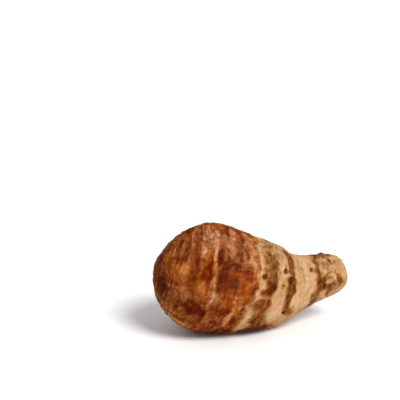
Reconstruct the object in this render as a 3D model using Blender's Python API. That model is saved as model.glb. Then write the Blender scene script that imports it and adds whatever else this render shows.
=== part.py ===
"""A taro cormel, the small side tuber of the taro plant, as it is dug, trimmed and dried.

It is one solid, grown as one piece. Its fat end carries the bud, ringed by close leaf
scars, and its other end is drawn out to the neck that joined it to the mother corm.
It lies on its belly along X, with the bud end at -X and the tip of the neck at +X, and
rests on a small flat spot under its weight. The scene is in metres, +Z up, with the
origin on the ground under the middle. The tables of its form are in mm and degrees.
"""

import bisect
import math

import bmesh
import bpy
from mathutils import Matrix, Vector, noise

MM = 0.001
NODE_NAME = "taro_cormel"

# The form before it is bent, as a turned shape: (distance along the axis, radius).
# It runs from the bud pole, over the belly, to the tip of the neck.
PROFILE = (
    (0.0, 0.0),
    (1.5, 8.0),
    (6.0, 16.0),
    (13.0, 22.4),
    (20.0, 25.9),
    (27.0, 26.6),
    (36.0, 25.4),
    (46.0, 23.6),
    (56.0, 21.7),
    (62.0, 19.8),
    (67.0, 17.3),
    (72.0, 14.9),
    (78.0, 12.8),
    (86.0, 11.3),
    (93.0, 9.6),
    (97.5, 6.6),
    (99.5, 0.0),
)
STEPS_PER_SPAN = 24

# How the axis turns: (distance along the axis, degrees).
# Pitch is up from level, and heading is from +X towards +Y.
PITCH = ((0.0, -16.0), (27.0, -12.5), (48.0, -10.5), (61.0, -3.5), (77.0, 8.0), (99.5, 12.0))
HEADING = ((0.0, -26.0), (28.0, -10.0), (48.0, 2.0), (66.0, -2.0), (99.5, -2.0))
SPINE_STEP = 0.5

# Each leaf scar's distance from the bud pole, measured over the surface.
RINGS = (
    4.0, 8.3, 12.5, 16.6, 20.4, 24.2, 28.2, 33.2, 38.0,
    45.3, 50.4, 55.4, 63.0, 77.0, 95.0, 104.5, 109.5,
)

# A scar is a lip that stands out towards the bud, with a groove before it. These sizes
# hold where rings are FULL_GAP apart or more, and shrink with them where they are closer.
LIP_HEIGHT = 0.5
LIP_WIDTH_TO_NECK = 1.7
LIP_WIDTH_TO_BUD = 0.42
GROOVE_DEPTH = 0.35
GROOVE_PLACE = -0.95
GROOVE_WIDTH = 0.6
FULL_GAP = 4.8
NECK_STARTS = 60.0
NECK_SHARE = 0.45

# Each ring wanders as it goes round, and those past the belly lean: (distance, lean).
WANDER = 0.9
LEAN = ((0.0, 0.0), (40.0, 0.0), (55.0, 3.3), (64.0, 3.6), (77.0, 2.3), (95.0, 4.6), (110.0, 0.0))

# Buds on the belly and a stub near the tip: (distance, degrees round, radius, height).
# Degrees round count from the -Y side, up through +Z.
SWELLINGS = (
    (26.0, 19.0, 7.0, 0.8),
    (34.4, 4.0, 4.5, 0.8),
    (103.5, 88.0, 4.5, 1.2),
)

# The form's lumps, and the share of them that is left along the underside.
LUMP_HEIGHT = 1.1
LUMP_SIZE = 17.0
LUMP_SEED = Vector((3.1, 7.7, 1.9))
UNDERSIDE_LUMPS = 0.15

# The belly is cut flat this far above its lowest point, and is worn smooth just above.
REST_CUT = 0.35
WORN_HEIGHT = 2.5

COLUMNS = 56
ROW_OFFSETS = (-1.7, -0.95, 0.0, 1.1, 2.3)
SHORTEST_ROW_GAP = 0.45
LONGEST_ROW_GAP = 2.9


def table_value(table, at):
    """Reads a table of (place, value) rows, easing smoothly from each row to the next."""
    if at <= table[0][0]:
        return table[0][1]
    for (low, first), (high, second) in zip(table, table[1:]):
        if at <= high:
            share = (at - low) / (high - low)
            return first + (second - first) * share * share * (3.0 - 2.0 * share)
    return table[-1][1]


def curve_point(before, start, end, after, share):
    """A point between start and end on the smooth curve through all four points."""
    return 0.5 * (
        2.0 * start
        + (end - before) * share
        + (2.0 * before - 5.0 * start + 4.0 * end - after) * share**2
        + (3.0 * start - before - 3.0 * end + after) * share**3
    )


class Outline:
    """The turned outline, read by the distance over the surface from the bud pole."""

    def __init__(self):
        points = [Vector(point) for point in PROFILE]
        past_bud = Vector((points[1].x, -points[1].y))
        past_tip = Vector((points[-2].x, -points[-2].y))
        points = [past_bud, *points, past_tip]
        self.places = [points[1]]
        self.reached = [0.0]
        for index in range(len(points) - 3):
            for step in range(1, STEPS_PER_SPAN + 1):
                place = curve_point(*points[index : index + 4], step / STEPS_PER_SPAN)
                self.reached.append(self.reached[-1] + (place - self.places[-1]).length)
                self.places.append(place)
        self.length = self.reached[-1]

    def at(self, over):
        """The distance along the axis and the radius, at this distance over the surface."""
        over = min(max(over, 0.0), self.length)
        index = max(1, min(bisect.bisect_left(self.reached, over), len(self.reached) - 1))
        span = self.reached[index] - self.reached[index - 1]
        share = (over - self.reached[index - 1]) / span
        place = self.places[index - 1].lerp(self.places[index], share)
        return place.x, max(place.y, 0.0)


class Spine:
    """The bent axis, found by walking along the tables of its turns."""

    def __init__(self):
        self.centres = [Vector((0.0, 0.0, 0.0))]
        for step in range(int(PROFILE[-1][0] / SPINE_STEP) + 2):
            forward = self.forward((step + 0.5) * SPINE_STEP)
            self.centres.append(self.centres[-1] + forward * SPINE_STEP)

    @staticmethod
    def forward(along):
        """The direction of the axis at this distance along it."""
        pitch = math.radians(table_value(PITCH, along))
        heading = math.radians(table_value(HEADING, along))
        level = math.cos(pitch)
        return Vector((level * math.cos(heading), level * math.sin(heading), math.sin(pitch)))

    def section(self, along):
        """The centre of a section, the direction of its -Y side and that of its top."""
        index = min(int(along / SPINE_STEP), len(self.centres) - 2)
        share = along / SPINE_STEP - index
        centre = self.centres[index].lerp(self.centres[index + 1], share)
        forward = self.forward(along)
        side = forward.cross(Vector((0.0, 0.0, 1.0))).normalized()
        return centre, side, side.cross(forward)


OUTLINE = Outline()
SPINE = Spine()


def on_ring(angle, radius, place):
    """A point for the noise to be read at, on a circle so that it closes as it goes round."""
    return Vector((math.cos(angle) * radius, math.sin(angle) * radius, place)) + LUMP_SEED


def wander(over, angle):
    """How far the skin at this place is pushed along the surface as it goes round."""
    near_end = min(1.0, over / 30.0, (OUTLINE.length - over) / 12.0)
    drift = 2.0 * noise.noise(on_ring(angle, 1.3, over * 0.045))
    ripple = 0.7 * noise.noise(on_ring(angle, 5.0, over * 0.21))
    return near_end * (WANDER * (drift + ripple) + table_value(LEAN, over) * math.sin(angle))


def ring_scale(index):
    """The size of a leaf scar, as a share of the full size, from its nearer neighbour."""
    gap = RINGS[index] - (RINGS[index - 1] if index else 0.0)
    if index + 1 < len(RINGS):
        gap = min(gap, RINGS[index + 1] - RINGS[index])
    return min(1.0, gap / FULL_GAP)


def scar_height(over, angle):
    """The height of the leaf scars' lips and grooves over the smooth form."""
    height = 0.0
    for index, ring in enumerate(RINGS):
        scale = ring_scale(index)
        past = (over - ring) / scale
        if abs(past) > 3.0 * LIP_WIDTH_TO_NECK:
            continue
        lip_width = LIP_WIDTH_TO_NECK if past > 0.0 else LIP_WIDTH_TO_BUD
        lip = LIP_HEIGHT * math.exp(-((past / lip_width) ** 2))
        groove = GROOVE_DEPTH * math.exp(-(((past - GROOVE_PLACE) / GROOVE_WIDTH) ** 2))
        strength = 1.0 + 0.9 * noise.noise(on_ring(angle, 2.3, ring))
        share = NECK_SHARE if ring > NECK_STARTS else 1.0
        height += scale * share * strength * (lip - groove)
    return height


def swelling_height(over, angle, radius):
    """The height of the buds and the stub over the smooth form."""
    height = 0.0
    for middle, degrees, size, rise in SWELLINGS:
        turned = (angle - math.radians(degrees) + math.pi) % math.tau - math.pi
        away = math.hypot(over - middle, turned * radius) / size
        if away < 1.0:
            height += rise * (1.0 - away * away) ** 2
    return height


def smooth_skin(over, angle):
    """A point of the lumpy form without its scars, the way out of it there and its radius."""
    shifted = over + wander(over, angle)
    along, radius = OUTLINE.at(shifted)
    next_along, next_radius = OUTLINE.at(shifted + 0.5)
    slope = Vector((next_along - along, next_radius - radius)).normalized()
    centre, side, top = SPINE.section(along)
    sideways = side * math.cos(angle) + top * math.sin(angle)
    outward = sideways * slope.x - SPINE.forward(along) * slope.y
    place = centre + sideways * radius
    lump = LUMP_HEIGHT * noise.noise(place / LUMP_SIZE + LUMP_SEED)
    lump *= min(1.0, 1.0 + UNDERSIDE_LUMPS + math.sin(angle), radius / 6.0)
    return place + outward * lump, outward, radius


def row_places():
    """Where the mesh's rows go: on each scar's groove, edge and lip, and evenly between."""
    wanted = [OUTLINE.length]
    for index, ring in enumerate(RINGS):
        wanted += [ring + offset * ring_scale(index) for offset in ROW_OFFSETS]
    rows = [0.0]
    for place in sorted(wanted):
        start = rows[-1]
        if place - start < SHORTEST_ROW_GAP:
            continue
        parts = int((place - start) / LONGEST_ROW_GAP) + 1
        rows += [start + (place - start) * part / parts for part in range(1, parts + 1)]
    rows[-1] = OUTLINE.length
    return rows


def spin_outline():
    """Spins the straight shape from its outline. Each vertex keeps its distance over it."""
    body = bmesh.new()
    over = body.verts.layers.float.new("over")
    outline = []
    for place in row_places():
        along, radius = OUTLINE.at(place)
        vertex = body.verts.new((along, -radius, 0.0))
        vertex[over] = place
        outline.append(vertex)
    edges = [body.edges.new(pair) for pair in zip(outline, outline[1:])]
    bmesh.ops.spin(
        body,
        geom=outline + edges,
        cent=(0.0, 0.0, 0.0),
        axis=(-1.0, 0.0, 0.0),
        angle=math.tau,
        steps=COLUMNS,
        use_merge=True,
    )
    bmesh.ops.remove_doubles(body, verts=body.verts, dist=1e-4)
    return body, over


def grow(body, over):
    """Bends and swells the spun shape and raises its scars. Returns the ground's height."""
    angles = [math.atan2(vertex.co.z, -vertex.co.y) for vertex in body.verts]
    skins = [smooth_skin(vertex[over], angle) for vertex, angle in zip(body.verts, angles)]
    ground = min(place.z for place, outward, radius in skins) + REST_CUT
    for vertex, angle, (place, outward, radius) in zip(body.verts, angles, skins):
        worn = min(1.0, max(0.0, (place.z - ground) / WORN_HEIGHT))
        rise = scar_height(vertex[over], angle) + swelling_height(vertex[over], angle, radius)
        vertex.co = place + outward * rise * worn * min(1.0, radius / 4.0)
    return ground


def set_down(body, ground):
    """Cuts the flat spot, puts it on z = 0 and centres the cormel over the origin."""
    cut = bmesh.ops.bisect_plane(
        body,
        geom=body.verts[:] + body.edges[:] + body.faces[:],
        dist=1e-4,
        plane_co=(0.0, 0.0, ground),
        plane_no=(0.0, 0.0, -1.0),
        clear_outer=True,
    )
    rim = [item for item in cut["geom_cut"] if isinstance(item, bmesh.types.BMEdge)]
    bmesh.ops.contextual_create(body, geom=rim)
    low, high = (
        Vector([side(vertex.co[axis] for vertex in body.verts) for axis in range(3)])
        for side in (min, max)
    )
    centred = Matrix.Translation((-(low.x + high.x) / 2.0, -(low.y + high.y) / 2.0, -ground))
    bmesh.ops.transform(body, matrix=Matrix.Scale(MM, 4) @ centred, verts=body.verts)
    bmesh.ops.recalc_face_normals(body, faces=body.faces)


def make_skin_material():
    """Dull brown skin, dry and without sheen."""
    material = bpy.data.materials.new("taro_skin")
    material.use_nodes = True
    shader = material.node_tree.nodes["Principled BSDF"]
    shader.inputs["Base Color"].default_value = (0.30, 0.13, 0.05, 1.0)
    shader.inputs["Roughness"].default_value = 0.8
    shader.inputs["Metallic"].default_value = 0.0
    return material


def make_cormel():
    """Makes the cormel's object."""
    body, over = spin_outline()
    ground = grow(body, over)
    set_down(body, ground)
    mesh = bpy.data.meshes.new(NODE_NAME)
    body.to_mesh(mesh)
    body.free()
    mesh.shade_smooth()
    mesh.materials.append(make_skin_material())
    cormel = bpy.data.objects.new(NODE_NAME, mesh)
    bpy.context.scene.collection.objects.link(cormel)


def main():
    for old in list(bpy.data.objects):
        bpy.data.objects.remove(old, do_unlink=True)
    make_cormel()


main()
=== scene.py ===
"""The looks of a taro cormel that lies on its belly: its skin, its scars and its fibres.

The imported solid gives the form. Here the same rule is followed far more finely, so that
the leaf scars get ragged lips, the bark its papery layers and the neck its corky bands.
Rags of old leaf sheath and fine dry rootlets are added to it.

Places on the skin are given as two numbers: the distance over the surface from the bud
pole, in mm, and the degrees round from the -Y side, counted up through the top.
"""

import logging
import math
from dataclasses import dataclass, field
from enum import Enum
from typing import Any, Mapping, Sequence

import bmesh
import bpy
import numpy as np
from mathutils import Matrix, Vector, noise


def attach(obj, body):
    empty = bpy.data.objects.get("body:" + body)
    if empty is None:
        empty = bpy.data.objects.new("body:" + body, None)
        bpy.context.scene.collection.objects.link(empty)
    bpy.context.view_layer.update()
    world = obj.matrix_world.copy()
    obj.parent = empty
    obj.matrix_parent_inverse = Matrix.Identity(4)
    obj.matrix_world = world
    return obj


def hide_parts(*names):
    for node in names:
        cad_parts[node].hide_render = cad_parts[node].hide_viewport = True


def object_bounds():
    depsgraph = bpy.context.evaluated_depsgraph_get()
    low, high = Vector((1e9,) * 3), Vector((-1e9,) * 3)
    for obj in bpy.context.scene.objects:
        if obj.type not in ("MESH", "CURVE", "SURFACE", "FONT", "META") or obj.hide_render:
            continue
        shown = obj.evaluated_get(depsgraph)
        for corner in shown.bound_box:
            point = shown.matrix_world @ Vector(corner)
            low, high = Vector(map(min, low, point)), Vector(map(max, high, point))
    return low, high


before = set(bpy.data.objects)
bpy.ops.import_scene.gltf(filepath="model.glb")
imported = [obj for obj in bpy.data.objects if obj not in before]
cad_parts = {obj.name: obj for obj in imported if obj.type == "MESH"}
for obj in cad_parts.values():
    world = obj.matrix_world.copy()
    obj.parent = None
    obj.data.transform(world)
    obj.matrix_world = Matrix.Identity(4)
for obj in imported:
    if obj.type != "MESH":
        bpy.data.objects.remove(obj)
CAD_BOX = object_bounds()

LOG = logging.getLogger("taro_cormel")

NODE = "taro_cormel"
BODY = "root"
MM = 0.001

# The inputs and the result of a Mix node that mixes colours.
MIX_FACTOR = 0
MIX_A = 6
MIX_B = 7
MIX_RESULT = 2

# Large numbers that mix a lattice corner and a seed, by chance, into 31 bits.
CORNER_MIX = (73856093, 19349663, 83492791)
SEED_MIX = 40503
BIT_MIX = 1274126177
LOW_31_BITS = 0x7FFFFFFF
LOW_16_BITS = 0xFFFF
# How far apart two seeds are read, and what brings the noise's highest to about 1.
SEED_STEP = 17.31
NOISE_GAIN = 1.6

Table = Sequence[tuple[float, float]]
Signals = dict[str, bpy.types.NodeSocket]


def linear(hex_colour: str) -> tuple[float, float, float, float]:
    """Turns an sRGB hex colour into the linear colour that shaders take.

    Args:
        hex_colour: Six hex digits after a hash sign.

    Returns:
        Red, green, blue and an alpha of 1, all linear.
    """
    parts = [int(hex_colour[place : place + 2], 16) / 255.0 for place in (1, 3, 5)]
    red, green, blue = (
        part / 12.92 if part <= 0.04045 else ((part + 0.055) / 1.055) ** 2.4 for part in parts
    )
    return red, green, blue, 1.0


def add_node(
    tree: bpy.types.NodeTree, kind: str, inputs: Mapping[Any, Any], **settings: Any
) -> bpy.types.Node:
    """Adds a node with its settings, and sets or links its inputs.

    Args:
        tree: The node tree that it goes in.
        kind: The node's type.
        inputs: Each input's name or place, with a value or the socket that feeds it.
        settings: The node's own properties.

    Returns:
        The new node.
    """
    node = tree.nodes.new(kind)
    for name, value in settings.items():
        setattr(node, name, value)
    for name, value in inputs.items():
        if isinstance(value, bpy.types.NodeSocket):
            tree.links.new(value, node.inputs[name])
        else:
            node.inputs[name].default_value = value
    return node


def dull_material(
    name: str, roughness: float, specular: float
) -> tuple[bpy.types.Material, bpy.types.Node]:
    """Starts a material.

    Args:
        name: The real material and how its surface was made.
        roughness: How rough it is, from 0 to 1.
        specular: How much its surface mirrors, from 0 to 1.

    Returns:
        The material and its shader.
    """
    made = bpy.data.materials.new(name)
    made.use_nodes = True
    shader = made.node_tree.nodes["Principled BSDF"]
    shader.inputs["Roughness"].default_value = roughness
    shader.inputs["Specular IOR Level"].default_value = specular
    return made, shader


def added(name: str, data: bpy.types.ID | None) -> bpy.types.Object:
    """Adds an object that shows a mesh, a lamp or a camera to the scene."""
    thing = bpy.data.objects.new(name, data)
    bpy.context.scene.collection.objects.link(thing)
    return thing


def finished_mesh(body: bmesh.types.BMesh, name: str) -> bpy.types.Mesh:
    """Turns a bmesh into a mesh, and frees it."""
    mesh = bpy.data.meshes.new(name)
    body.to_mesh(mesh)
    body.free()
    return mesh


def vertex_places(mesh: bpy.types.Mesh) -> np.ndarray:
    """Where each vertex is, one row a vertex."""
    places = np.empty(len(mesh.vertices) * 3, np.float32)
    mesh.vertices.foreach_get("co", places)
    return places.reshape(-1, 3).astype(float)


def taken_values(mesh: bpy.types.Mesh, name: str) -> np.ndarray:
    """Takes an attribute off a mesh, and gives its value at each vertex."""
    values = np.empty(len(mesh.vertices), np.float32)
    mesh.attributes[name].data.foreach_get("value", values)
    mesh.attributes.remove(mesh.attributes[name])
    return values.astype(float)


def move_vertices(body: bmesh.types.BMesh, place: np.ndarray) -> None:
    """Moves each vertex to its place, given in mm."""
    for vertex, point in zip(body.verts, place * MM):
        vertex.co = point


def eased(low: float, high: float, value: np.ndarray) -> np.ndarray:
    """Rises smoothly from 0 at low to 1 at high."""
    share = np.clip((value - low) / (high - low), 0.0, 1.0)
    return share * share * (3.0 - 2.0 * share)


def bell(value: np.ndarray) -> np.ndarray:
    """1 where the value is 0, falling smoothly to nothing at about 2 either way."""
    return np.exp(-value * value)


def ridge(value: np.ndarray, middle: float, width: float) -> np.ndarray:
    """1 where the value is at the middle, falling to nothing about two widths either way."""
    return bell((value - middle) / width)


def table_values(table: Table, at: np.ndarray) -> np.ndarray:
    """Reads a table of (place, value) rows, easing smoothly from each row to the next.

    Args:
        table: The rows, in order of place.
        at: The places to read it at.

    Returns:
        A value for each place.
    """
    values = np.full(at.shape, table[0][1], float)
    for (low, first), (high, second) in zip(table, table[1:]):
        values += (second - first) * eased(low, high, at)
    return values


def form_noise(points: np.ndarray) -> np.ndarray:
    """The smooth noise, from about -1 to 1, that the solid's form is drawn with."""
    return np.array([noise.noise(point) for point in points.tolist()])


def corner_pull(corner: np.ndarray, away: np.ndarray, seed: int) -> np.ndarray:
    """How much a lattice corner's own slope raises the places that are away from it."""
    by_x, by_y, by_z = CORNER_MIX
    mixed = corner[..., 0] * by_x ^ corner[..., 1] * by_y ^ corner[..., 2] * by_z
    mixed = (mixed ^ seed * SEED_MIX) & LOW_31_BITS
    mixed = (mixed ^ (mixed >> 13)) * BIT_MIX & LOW_31_BITS
    turn = (mixed & LOW_16_BITS) / LOW_16_BITS * math.tau
    level = ((mixed >> 15) & LOW_16_BITS) / LOW_16_BITS * 2.0 - 1.0
    flat = np.sqrt(1.0 - level * level)
    return away[..., 0] * flat * np.cos(turn) + away[..., 1] * flat * np.sin(turn) + away[..., 2] * level


def skin_noise(points: np.ndarray, seed: int, octaves: int = 1) -> np.ndarray:
    """Smooth noise for the fine relief, from about -1 to 1.

    Args:
        points: Where to read it, one row a point. A feature is about 1 across.
        seed: Which noise to read.
        octaves: How many times a twice finer and half as strong noise is added.

    Returns:
        A value for each point.
    """
    total = np.zeros(len(points))
    for octave in range(octaves):
        at = points * 2.0**octave + seed * SEED_STEP
        base = np.floor(at)
        away = at - base
        corner = base.astype(np.int64)
        weight = away * away * away * (away * (away * 6.0 - 15.0) + 10.0)
        value = np.zeros(len(points))
        for step in ((x, y, z) for x in (0, 1) for y in (0, 1) for z in (0, 1)):
            share = np.prod(np.where(step, weight, 1.0 - weight), axis=1)
            value += share * corner_pull(corner + step, away - step, seed + octave)
        total += value * NOISE_GAIN / 2.0**octave
    return total


def turned_from(angle: np.ndarray, degrees: float) -> np.ndarray:
    """How far each angle lies from a number of degrees, in radians, the short way round."""
    return (angle - math.radians(degrees) + math.pi) % math.tau - math.pi


@dataclass(frozen=True)
class RingNoise:
    """A smooth noise that closes as it goes round the cormel.

    The larger its radius and its pace are, the finer it is round the cormel and along it.
    """

    strength: float
    radius: float
    pace: float

    def at(self, over: np.ndarray, angle: np.ndarray, seed: Vector) -> np.ndarray:
        """The noise at each distance over the surface and angle round, in radians."""
        points = np.empty(angle.shape + (3,))
        points[..., 0] = np.cos(angle) * self.radius + seed.x
        points[..., 1] = np.sin(angle) * self.radius + seed.y
        points[..., 2] = over * self.pace + seed.z
        return self.strength * form_noise(points)


@dataclass
class Places:
    """Places on the skin, with a value for each in every field.

    Over is the distance over the surface in mm, and angle is how far round, in radians.
    Radius is the cormel's there. Flat is a point in mm that closes as it goes round.
    """

    over: np.ndarray
    angle: np.ndarray
    radius: np.ndarray
    flat: np.ndarray


@dataclass
class CormelForm:
    """The cormel's form, by the rule that its solid follows, in mm and degrees.

    It is a turned outline, bent along a spine, with lumps, leaf scars and swellings.
    """

    profile: Table = (
        (0.0, 0.0), (1.5, 8.0), (6.0, 16.0), (13.0, 22.4), (20.0, 25.9), (27.0, 26.6),
        (36.0, 25.4), (46.0, 23.6), (56.0, 21.7), (62.0, 19.8), (67.0, 17.3), (72.0, 14.9),
        (78.0, 12.8), (86.0, 11.3), (93.0, 9.6), (97.5, 6.6), (99.5, 0.0),
    )
    pitch: Table = ((0.0, -16.0), (27.0, -12.5), (48.0, -10.5), (61.0, -3.5), (77.0, 8.0), (99.5, 12.0))
    heading: Table = ((0.0, -26.0), (28.0, -10.0), (48.0, 2.0), (66.0, -2.0), (99.5, -2.0))
    rings: Sequence[float] = (
        4.0, 8.3, 12.5, 16.6, 20.4, 24.2, 28.2, 33.2, 38.0,
        45.3, 50.4, 55.4, 63.0, 77.0, 95.0, 104.5, 109.5,
    )
    full_gap: float = 4.8
    unevenness: RingNoise = RingNoise(0.9, 2.3, 1.0)
    lip_height: float = 0.5
    lip_width_to_neck: float = 1.7
    lip_width_to_bud: float = 0.42
    groove_depth: float = 0.35
    groove_place: float = -0.95
    groove_width: float = 0.6
    # A scar's relief ends this many lip widths away.
    scar_widths: float = 3.0
    neck_starts: float = 60.0
    neck_share: float = 0.45
    wander_by: float = 0.9
    drift: RingNoise = RingNoise(2.0, 1.3, 0.045)
    ripple: RingNoise = RingNoise(0.7, 5.0, 0.21)
    # The scars wander less over this many mm at the bud and at the neck's end.
    straight_ends: tuple[float, float] = (30.0, 12.0)
    lean: Table = ((0.0, 0.0), (40.0, 0.0), (55.0, 3.3), (64.0, 3.6), (77.0, 2.3), (95.0, 4.6), (110.0, 0.0))
    swellings: Sequence[tuple[float, float, float, float]] = (
        (26.0, 19.0, 7.0, 0.8), (34.4, 4.0, 4.5, 0.8), (103.5, 88.0, 4.5, 1.2),
    )
    lump_height: float = 1.1
    lump_size: float = 17.0
    underside_lumps: float = 0.15
    lumps_fade_below: float = 6.0
    relief_fades_below: float = 4.0
    rest_cut: float = 0.35
    worn_height: float = 2.5
    seed: Vector = field(default_factory=lambda: Vector((3.1, 7.7, 1.9)))
    steps_per_span: int = 24
    spine_step: float = 0.5
    slope_step: float = 0.5
    length: float = field(init=False)

    def __post_init__(self) -> None:
        """Works out the outline by distance over it, and the spine's centres."""
        self.reached, self.outline = self.walk_outline()
        self.length = float(self.reached[-1])
        steps = np.arange(int(self.profile[-1][0] / self.spine_step) + 2)
        moves = self.forward((steps + 0.5) * self.spine_step) * self.spine_step
        self.centres = np.vstack([np.zeros((1, 3)), np.cumsum(moves, axis=0)])
        self.stations = np.arange(len(self.centres)) * self.spine_step

    def walk_outline(self) -> tuple[np.ndarray, np.ndarray]:
        """Runs a smooth curve through the profile's points.

        Returns:
            The distance over the surface of each point of the curve, and the points.
        """
        points = np.array(self.profile)
        points = np.vstack([points[1] * (1.0, -1.0), points, points[-2] * (1.0, -1.0)])
        share = (np.arange(1, self.steps_per_span + 1) / self.steps_per_span)[:, None]
        places = [points[1:2]]
        for before, start, end, after in zip(points, points[1:], points[2:], points[3:]):
            places.append(
                0.5
                * (
                    2.0 * start
                    + (end - before) * share
                    + (2.0 * before - 5.0 * start + 4.0 * end - after) * share**2
                    + (3.0 * start - before - 3.0 * end + after) * share**3
                )
            )
        curve = np.vstack(places)
        steps = np.linalg.norm(np.diff(curve, axis=0), axis=1)
        return np.concatenate([[0.0], np.cumsum(steps)]), curve

    def outline_at(self, over: np.ndarray) -> tuple[np.ndarray, np.ndarray]:
        """The distance along the axis and the radius at each distance over the surface."""
        over = np.clip(over, 0.0, self.length)
        along = np.interp(over, self.reached, self.outline[:, 0])
        radius = np.interp(over, self.reached, self.outline[:, 1])
        return along, np.maximum(radius, 0.0)

    def places(self, over: np.ndarray, angle: np.ndarray) -> Places:
        """The places at some distances over the surface and angles round it, in radians."""
        _, radius = self.outline_at(over)
        flat = np.stack([radius * np.cos(angle), radius * np.sin(angle), over], -1)
        return Places(over, angle, radius, flat)

    def forward(self, along: np.ndarray) -> np.ndarray:
        """The direction of the bent axis at each distance along it."""
        pitch = np.radians(table_values(self.pitch, along))
        heading = np.radians(table_values(self.heading, along))
        level = np.cos(pitch)
        return np.stack([level * np.cos(heading), level * np.sin(heading), np.sin(pitch)], -1)

    def wander(self, over: np.ndarray, angle: np.ndarray) -> np.ndarray:
        """How far the skin at each place is pushed along the surface as it goes round."""
        at_bud, at_neck = self.straight_ends
        near_end = np.minimum(1.0, np.minimum(over / at_bud, (self.length - over) / at_neck))
        drift = self.drift.at(over, angle, self.seed)
        ripple = self.ripple.at(over, angle, self.seed)
        lean = table_values(self.lean, over) * np.sin(angle)
        return near_end * (self.wander_by * (drift + ripple) + lean)

    def fade(self, radius: np.ndarray) -> np.ndarray:
        """1 where the cormel is thick, falling to 0 at its poles, for the relief."""
        return np.minimum(1.0, radius / self.relief_fades_below)

    def ring_scale(self, index: int) -> float:
        """The size of a leaf scar, as a share of the full size."""
        places = (0.0, *self.rings)
        gap = places[index + 1] - places[index]
        if index + 1 < len(self.rings):
            gap = min(gap, self.rings[index + 1] - self.rings[index])
        return min(1.0, gap / self.full_gap)

    def scars(self, over: np.ndarray, angle: np.ndarray) -> tuple[np.ndarray, np.ndarray]:
        """The heights of the leaf scars' lips and the depths of their grooves.

        Args:
            over: The distance over the surface.
            angle: How far round, in radians.

        Returns:
            The lips' height and the grooves' depth, both in mm and not negative.
        """
        lips = np.zeros(over.shape)
        grooves = np.zeros(over.shape)
        for index, ring in enumerate(self.rings):
            scale = self.ring_scale(index)
            past = (over - ring) / scale
            near = np.abs(past) <= self.scar_widths * self.lip_width_to_neck
            past = past[near]
            width = np.where(past > 0.0, self.lip_width_to_neck, self.lip_width_to_bud)
            where = np.full(past.shape, ring)
            strength = 1.0 + self.unevenness.at(where, angle[near], self.seed)
            size = scale * (self.neck_share if ring > self.neck_starts else 1.0) * strength
            lips[near] += size * self.lip_height * bell(past / width)
            dip = ridge(past, self.groove_place, self.groove_width)
            grooves[near] += size * self.groove_depth * dip
        return lips, grooves

    def swelling_height(
        self, over: np.ndarray, angle: np.ndarray, radius: np.ndarray
    ) -> np.ndarray:
        """The height of the buds and the stub over the smooth form."""
        height = np.zeros(over.shape)
        for middle, degrees, size, rise in self.swellings:
            away = np.hypot(over - middle, turned_from(angle, degrees) * radius) / size
            height += rise * np.maximum(0.0, 1.0 - away * away) ** 2
        return height

    def smooth_skin(
        self, over: np.ndarray, angle: np.ndarray
    ) -> tuple[np.ndarray, np.ndarray, np.ndarray]:
        """The lumpy form without its scars.

        Args:
            over: The distance over the surface.
            angle: How far round, in radians.

        Returns:
            Each point, the way out of the surface there, and the radius.
        """
        shifted = over + self.wander(over, angle)
        along, radius = self.outline_at(shifted)
        next_along, next_radius = self.outline_at(shifted + self.slope_step)
        slope = np.stack([next_along - along, next_radius - radius], -1)
        slope /= np.maximum(np.linalg.norm(slope, axis=-1, keepdims=True), 1e-9)
        forward = self.forward(along)
        side = np.cross(forward, (0.0, 0.0, 1.0))
        side /= np.linalg.norm(side, axis=-1, keepdims=True)
        top = np.cross(side, forward)
        sideways = side * np.cos(angle)[..., None] + top * np.sin(angle)[..., None]
        outward = sideways * slope[..., :1] - forward * slope[..., 1:]
        centre = np.stack(
            [np.interp(along, self.stations, self.centres[:, axis]) for axis in range(3)], -1
        )
        place = centre + sideways * radius[..., None]
        lump = self.lump_height * form_noise(place / self.lump_size + np.array(self.seed))
        calm = np.minimum(1.0, 1.0 + self.underside_lumps + np.sin(angle))
        lump *= np.minimum(calm, radius / self.lumps_fade_below)
        return place + outward * lump[..., None], outward, radius


class Tone(Enum):
    """What marks the skin, each named for the attribute that says how much there is."""

    BARK = "bark"
    BAND = "band"
    CORE = "core"
    DARK = "dark"
    PALE = "pale"
    AMBER = "amber"
    RUST = "rust"
    PLUM = "plum"
    SPECKLE = "speckle"
    WORN = "worn"


# The tones that the material reads. The others change only the height and the shade.
SHOWN_TONES = (Tone.BARK, Tone.AMBER, Tone.RUST, Tone.PLUM, Tone.SPECKLE)

Tones = dict[Tone, np.ndarray]
HeightAndShade = tuple[np.ndarray, np.ndarray]


@dataclass(frozen=True)
class Relief:
    """A noise that the skin is made of.

    Round_mm is the size of its features the way that the leaf scars run, and along_mm their
    size from bud to neck. Height is how many mm it raises the skin where it is 1, and shade
    is how much paler it makes it there.
    """

    round_mm: float
    along_mm: float
    seed: int
    octaves: int = 1
    height: float = 0.0
    shade: float = 0.0

    def at(self, place: np.ndarray) -> np.ndarray:
        """The noise at each place in mm, from about -1 to 1."""
        sizes = (self.round_mm, self.round_mm, self.along_mm)
        return skin_noise(place / sizes, self.seed, self.octaves)


@dataclass(frozen=True)
class Blotch:
    """A soft-edged oval of one tone.

    Its middle is at over and degrees. It reaches half_over mm over the surface and
    half_round degrees round, and strength says how much of the tone its middle has.
    """

    over: float
    degrees: float
    half_over: float
    half_round: float
    strength: float
    # It is whole up to this share of its reach, and gone from the second one.
    edge: tuple[float, float] = (0.2, 1.3)
    frayed_by: float = 0.4
    pushed_degrees: float = 2.5

    def share(self, places: Places, ragged: np.ndarray, aside: np.ndarray) -> np.ndarray:
        """How much of the tone each place has.

        Args:
            places: The places.
            ragged: Fine noise, which frays the edge.
            aside: Coarse noise, which pushes the edge aside.

        Returns:
            A value for each place.
        """
        turned = np.degrees(turned_from(places.angle, self.degrees)) + self.pushed_degrees * aside
        away = np.hypot((places.over - self.over) / self.half_over, turned / self.half_round)
        return self.strength * (1.0 - eased(*self.edge, away + self.frayed_by * ragged))


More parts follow.
